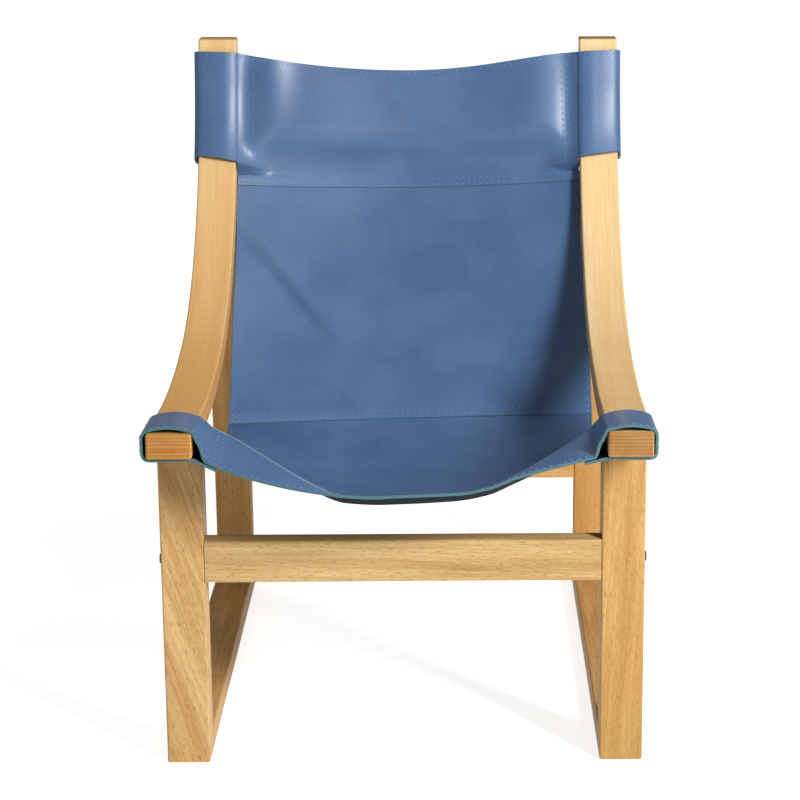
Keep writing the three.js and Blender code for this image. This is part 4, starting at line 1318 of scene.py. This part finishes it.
class SLINGCHAIR_OT_straight_wood(bpy.types.Operator):
    """Finish the front legs, runners and crossbars in solid wood"""

    bl_idname = "sling_chair.straight_wood"
    bl_label = "Legs, runners and crossbars"

    def execute(self, context):
        look = context.scene.sling_chair_wood
        # As wood_material takes them: grain, shift, warmth and tint
        pieces = {
            "left_front_leg": (straight_grain("Z", 0.34), 2.13, 0.5, (1.08, 1.24, 1.52)),
            "right_front_leg": (straight_grain("Z", -0.05), 3.71, 0.5, (0.92, 0.98, 0.98)),
            "left_floor_runner": (straight_grain("Y", 0.03), 5.33, 0.4),
            "right_floor_runner": (straight_grain("Y", -0.02), 6.17, 0.4),
            "front_crossbar": (straight_grain("X", 0.03), 7.91, 0.4, (0.95, 1.14, 1.45)),
            "rear_crossbar": (straight_grain("X", -0.03), 8.47, 0.4),
        }
        for name, wood in pieces.items():
            dress(name, wood_material(f"oiled_{name}", look, *wood))
        return {"FINISHED"}


class SLINGCHAIR_OT_fixings(bpy.types.Operator):
    """Finish the bolts, barrel nuts, dowels and loose tenons"""

    bl_idname = "sling_chair.fixings"
    bl_label = "Bolts, nuts, dowels and tenons"

    def execute(self, context):
        look = context.scene.sling_chair_wood
        black = steel_material("blackened_steel", "#3A3938", 0.42)
        plain = steel_material("plain_steel", "#9A9C9E", 0.38)
        inner = wood_material("beech_tenons", look, straight_grain("Z", 0.0), 9.9, 0.1)
        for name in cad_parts:
            if name.endswith("_bolt"):
                dress(name, black)
            elif name.endswith("_barrel_nut"):
                dress(name, plain)
            elif name.endswith("_dowel") or "_tenon_" in name:
                dress(name, inner)
        return {"FINISHED"}


class SLINGCHAIR_OT_seat_panel(bpy.types.Operator):
    """Make the seat panel with its sleeves round the rails, and its stitching"""

    bl_idname = "sling_chair.seat_panel"
    bl_label = "Seat panel"

    def execute(self, context):
        look = context.scene.sling_chair_stitching
        edge = look.inset / MM
        grid = seat_grid()
        # The crest of the seat's left fold gets a painted highlight
        panel, line, normals = sheet_piece(
            context, "seat_leather", grid, painted_shading=fold_wear(grid), lapped=False)
        lip = np.arange(2 * SLEEVE_PARTS, grid.shape[1] - 2 * SLEEVE_PARTS)
        sleeve = np.arange(1, SEAT_SLEEVE_ROWS - 1)
        hanging = np.arange(SEAT_SLEEVE_ROWS + 1, len(grid) - LAP_ROWS)
        seams = [(inset_rows(line, lip, edge), lip)]
        for side in (-1, 1):
            seams.append((hanging, inset_columns(line, hanging, edge + 1, side)))
            for reach in (SEAT_FLAP_SEAM, SEAT_FLAP_SEAM + look.row_gap / MM):
                seams.append((sleeve, inset_columns(line, sleeve, reach, side)))
        stitches = stitch_piece(context, "seat_stitches", line, normals, seams)
        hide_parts("seat_panel")
        return {"FINISHED"}


class SLINGCHAIR_OT_back_panel(bpy.types.Operator):
    """Make the back panel and its stitching"""

    bl_idname = "sling_chair.back_panel"
    bl_label = "Back panel"

    def execute(self, context):
        look = context.scene.sling_chair_stitching
        edge = look.inset / MM
        ups = back_ups()
        lap = lap_share()
        # Above the seat's lap in front, behind the head's lap at the top
        layer = context.scene.sling_chair_leather.thickness / MM + 0.3
        lifts = between(layer, -layer, np.clip((ups - lap) / (1 - 2 * lap), 0, 1))
        grid = whole_rows(back_point, ups)
        crease = back_crease()
        grid = grid - grid_normals(grid) * CREASE_DEPTH * crease[..., None]
        # The crease is pressed in and also darkened with painted shade
        panel, line, normals = sheet_piece(
            context, "back_leather", grid, lifts, -CREASE_PAINTED_SHADE * crease)
        columns = np.arange(1, MIDDLE_COLUMNS - 1)
        rows = np.arange(1, len(grid) - LAP_ROWS)
        seams = [
            (inset_rows(line, columns, reach), columns)
            for reach in (edge, edge + look.row_gap / MM)
        ]
        for side in (-1, 1):
            middle = (0, MIDDLE_COLUMNS - 1)
            seams.append((rows, inset_columns(line, rows, edge + 1, side, middle)))
        stitches = stitch_piece(context, "back_stitches", line, normals, seams)
        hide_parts("back_panel")
        return {"FINISHED"}


class SLINGCHAIR_OT_head_panel(bpy.types.Operator):
    """Make the head panel with its sleeves round the posts, and its stitching"""

    bl_idname = "sling_chair.head_panel"
    bl_label = "Head panel"

    def execute(self, context):
        look = context.scene.sling_chair_stitching
        edge = look.inset / MM
        gap = look.row_gap / MM
        grid = head_grid()
        panel, line, normals = sheet_piece(context, "head_leather", grid)
        columns = np.arange(SLEEVE_WIDTH + 1, LAST_MIDDLE)
        sleeve = np.arange(len(grid) - HEAD_SLEEVE_ROWS + 2, len(grid) - 2)
        top = np.arange(5 * SLEEVE_PARTS, grid.shape[1] - 5 * SLEEVE_PARTS)
        seams = [(inset_rows(line, columns, reach), columns) for reach in (edge, edge + gap)]
        seams.append((inset_rows(line, top, edge + 1, from_end=True), top))
        for side in (-1, 1):
            for reach in (HEAD_FLAP_SEAM[side], HEAD_FLAP_SEAM[side] + gap):
                across = inset_columns(line, sleeve, reach, side)
                lean = HEAD_FLAP_SEAM_LEAN[side] * np.linspace(0, 1, len(across))
                seams.append((sleeve, across + lean))
        stitches = stitch_piece(context, "head_stitches", line, normals, seams)
        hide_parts("head_panel")
        return {"FINISHED"}


class SLINGCHAIR_PT_sidebar(bpy.types.Panel):
    """Lists the chair's pieces, sizes and colours"""

    bl_label = "Sling Chair"
    bl_idname = "SLINGCHAIR_PT_sidebar"
    bl_space_type = "VIEW_3D"
    bl_region_type = "UI"
    bl_category = "Sling Chair"

    def draw(self, context):
        layout = self.layout
        for made in PIECES:
            layout.operator(made.bl_idname, text=made.bl_label)
        for name in ("leather", "stitching", "wood", "stage"):
            group = getattr(context.scene, f"sling_chair_{name}")
            box = layout.box()
            box.label(text=name.capitalize())
            for key in group.__annotations__:
                box.prop(group, key)


GROUPS = {
    "sling_chair_leather": SlingChairLeather,
    "sling_chair_stitching": SlingChairStitching,
    "sling_chair_wood": SlingChairWood,
    "sling_chair_stage": SlingChairStage,
}
PIECES = (
    SLINGCHAIR_OT_camera,
    SLINGCHAIR_OT_stage,
    SLINGCHAIR_OT_bent_wood,
    SLINGCHAIR_OT_straight_wood,
    SLINGCHAIR_OT_fixings,
    SLINGCHAIR_OT_seat_panel,
    SLINGCHAIR_OT_back_panel,
    SLINGCHAIR_OT_head_panel,
)


def register():
    for made in (*GROUPS.values(), *PIECES, SLINGCHAIR_PT_sidebar):
        bpy.utils.register_class(made)
    for name, group in GROUPS.items():
        setattr(bpy.types.Scene, name, PointerProperty(type=group))


def unregister():
    for name in GROUPS:
        delattr(bpy.types.Scene, name)
    for made in reversed((*GROUPS.values(), *PIECES, SLINGCHAIR_PT_sidebar)):
        bpy.utils.unregister_class(made)


def main():
    register()
    bpy.ops.sling_chair.camera()
    bpy.ops.sling_chair.stage()
    bpy.ops.sling_chair.bent_wood()
    bpy.ops.sling_chair.straight_wood()
    bpy.ops.sling_chair.fixings()
    bpy.ops.sling_chair.seat_panel()
    bpy.ops.sling_chair.back_panel()
    bpy.ops.sling_chair.head_panel()


if __name__ == "__main__":
    main()
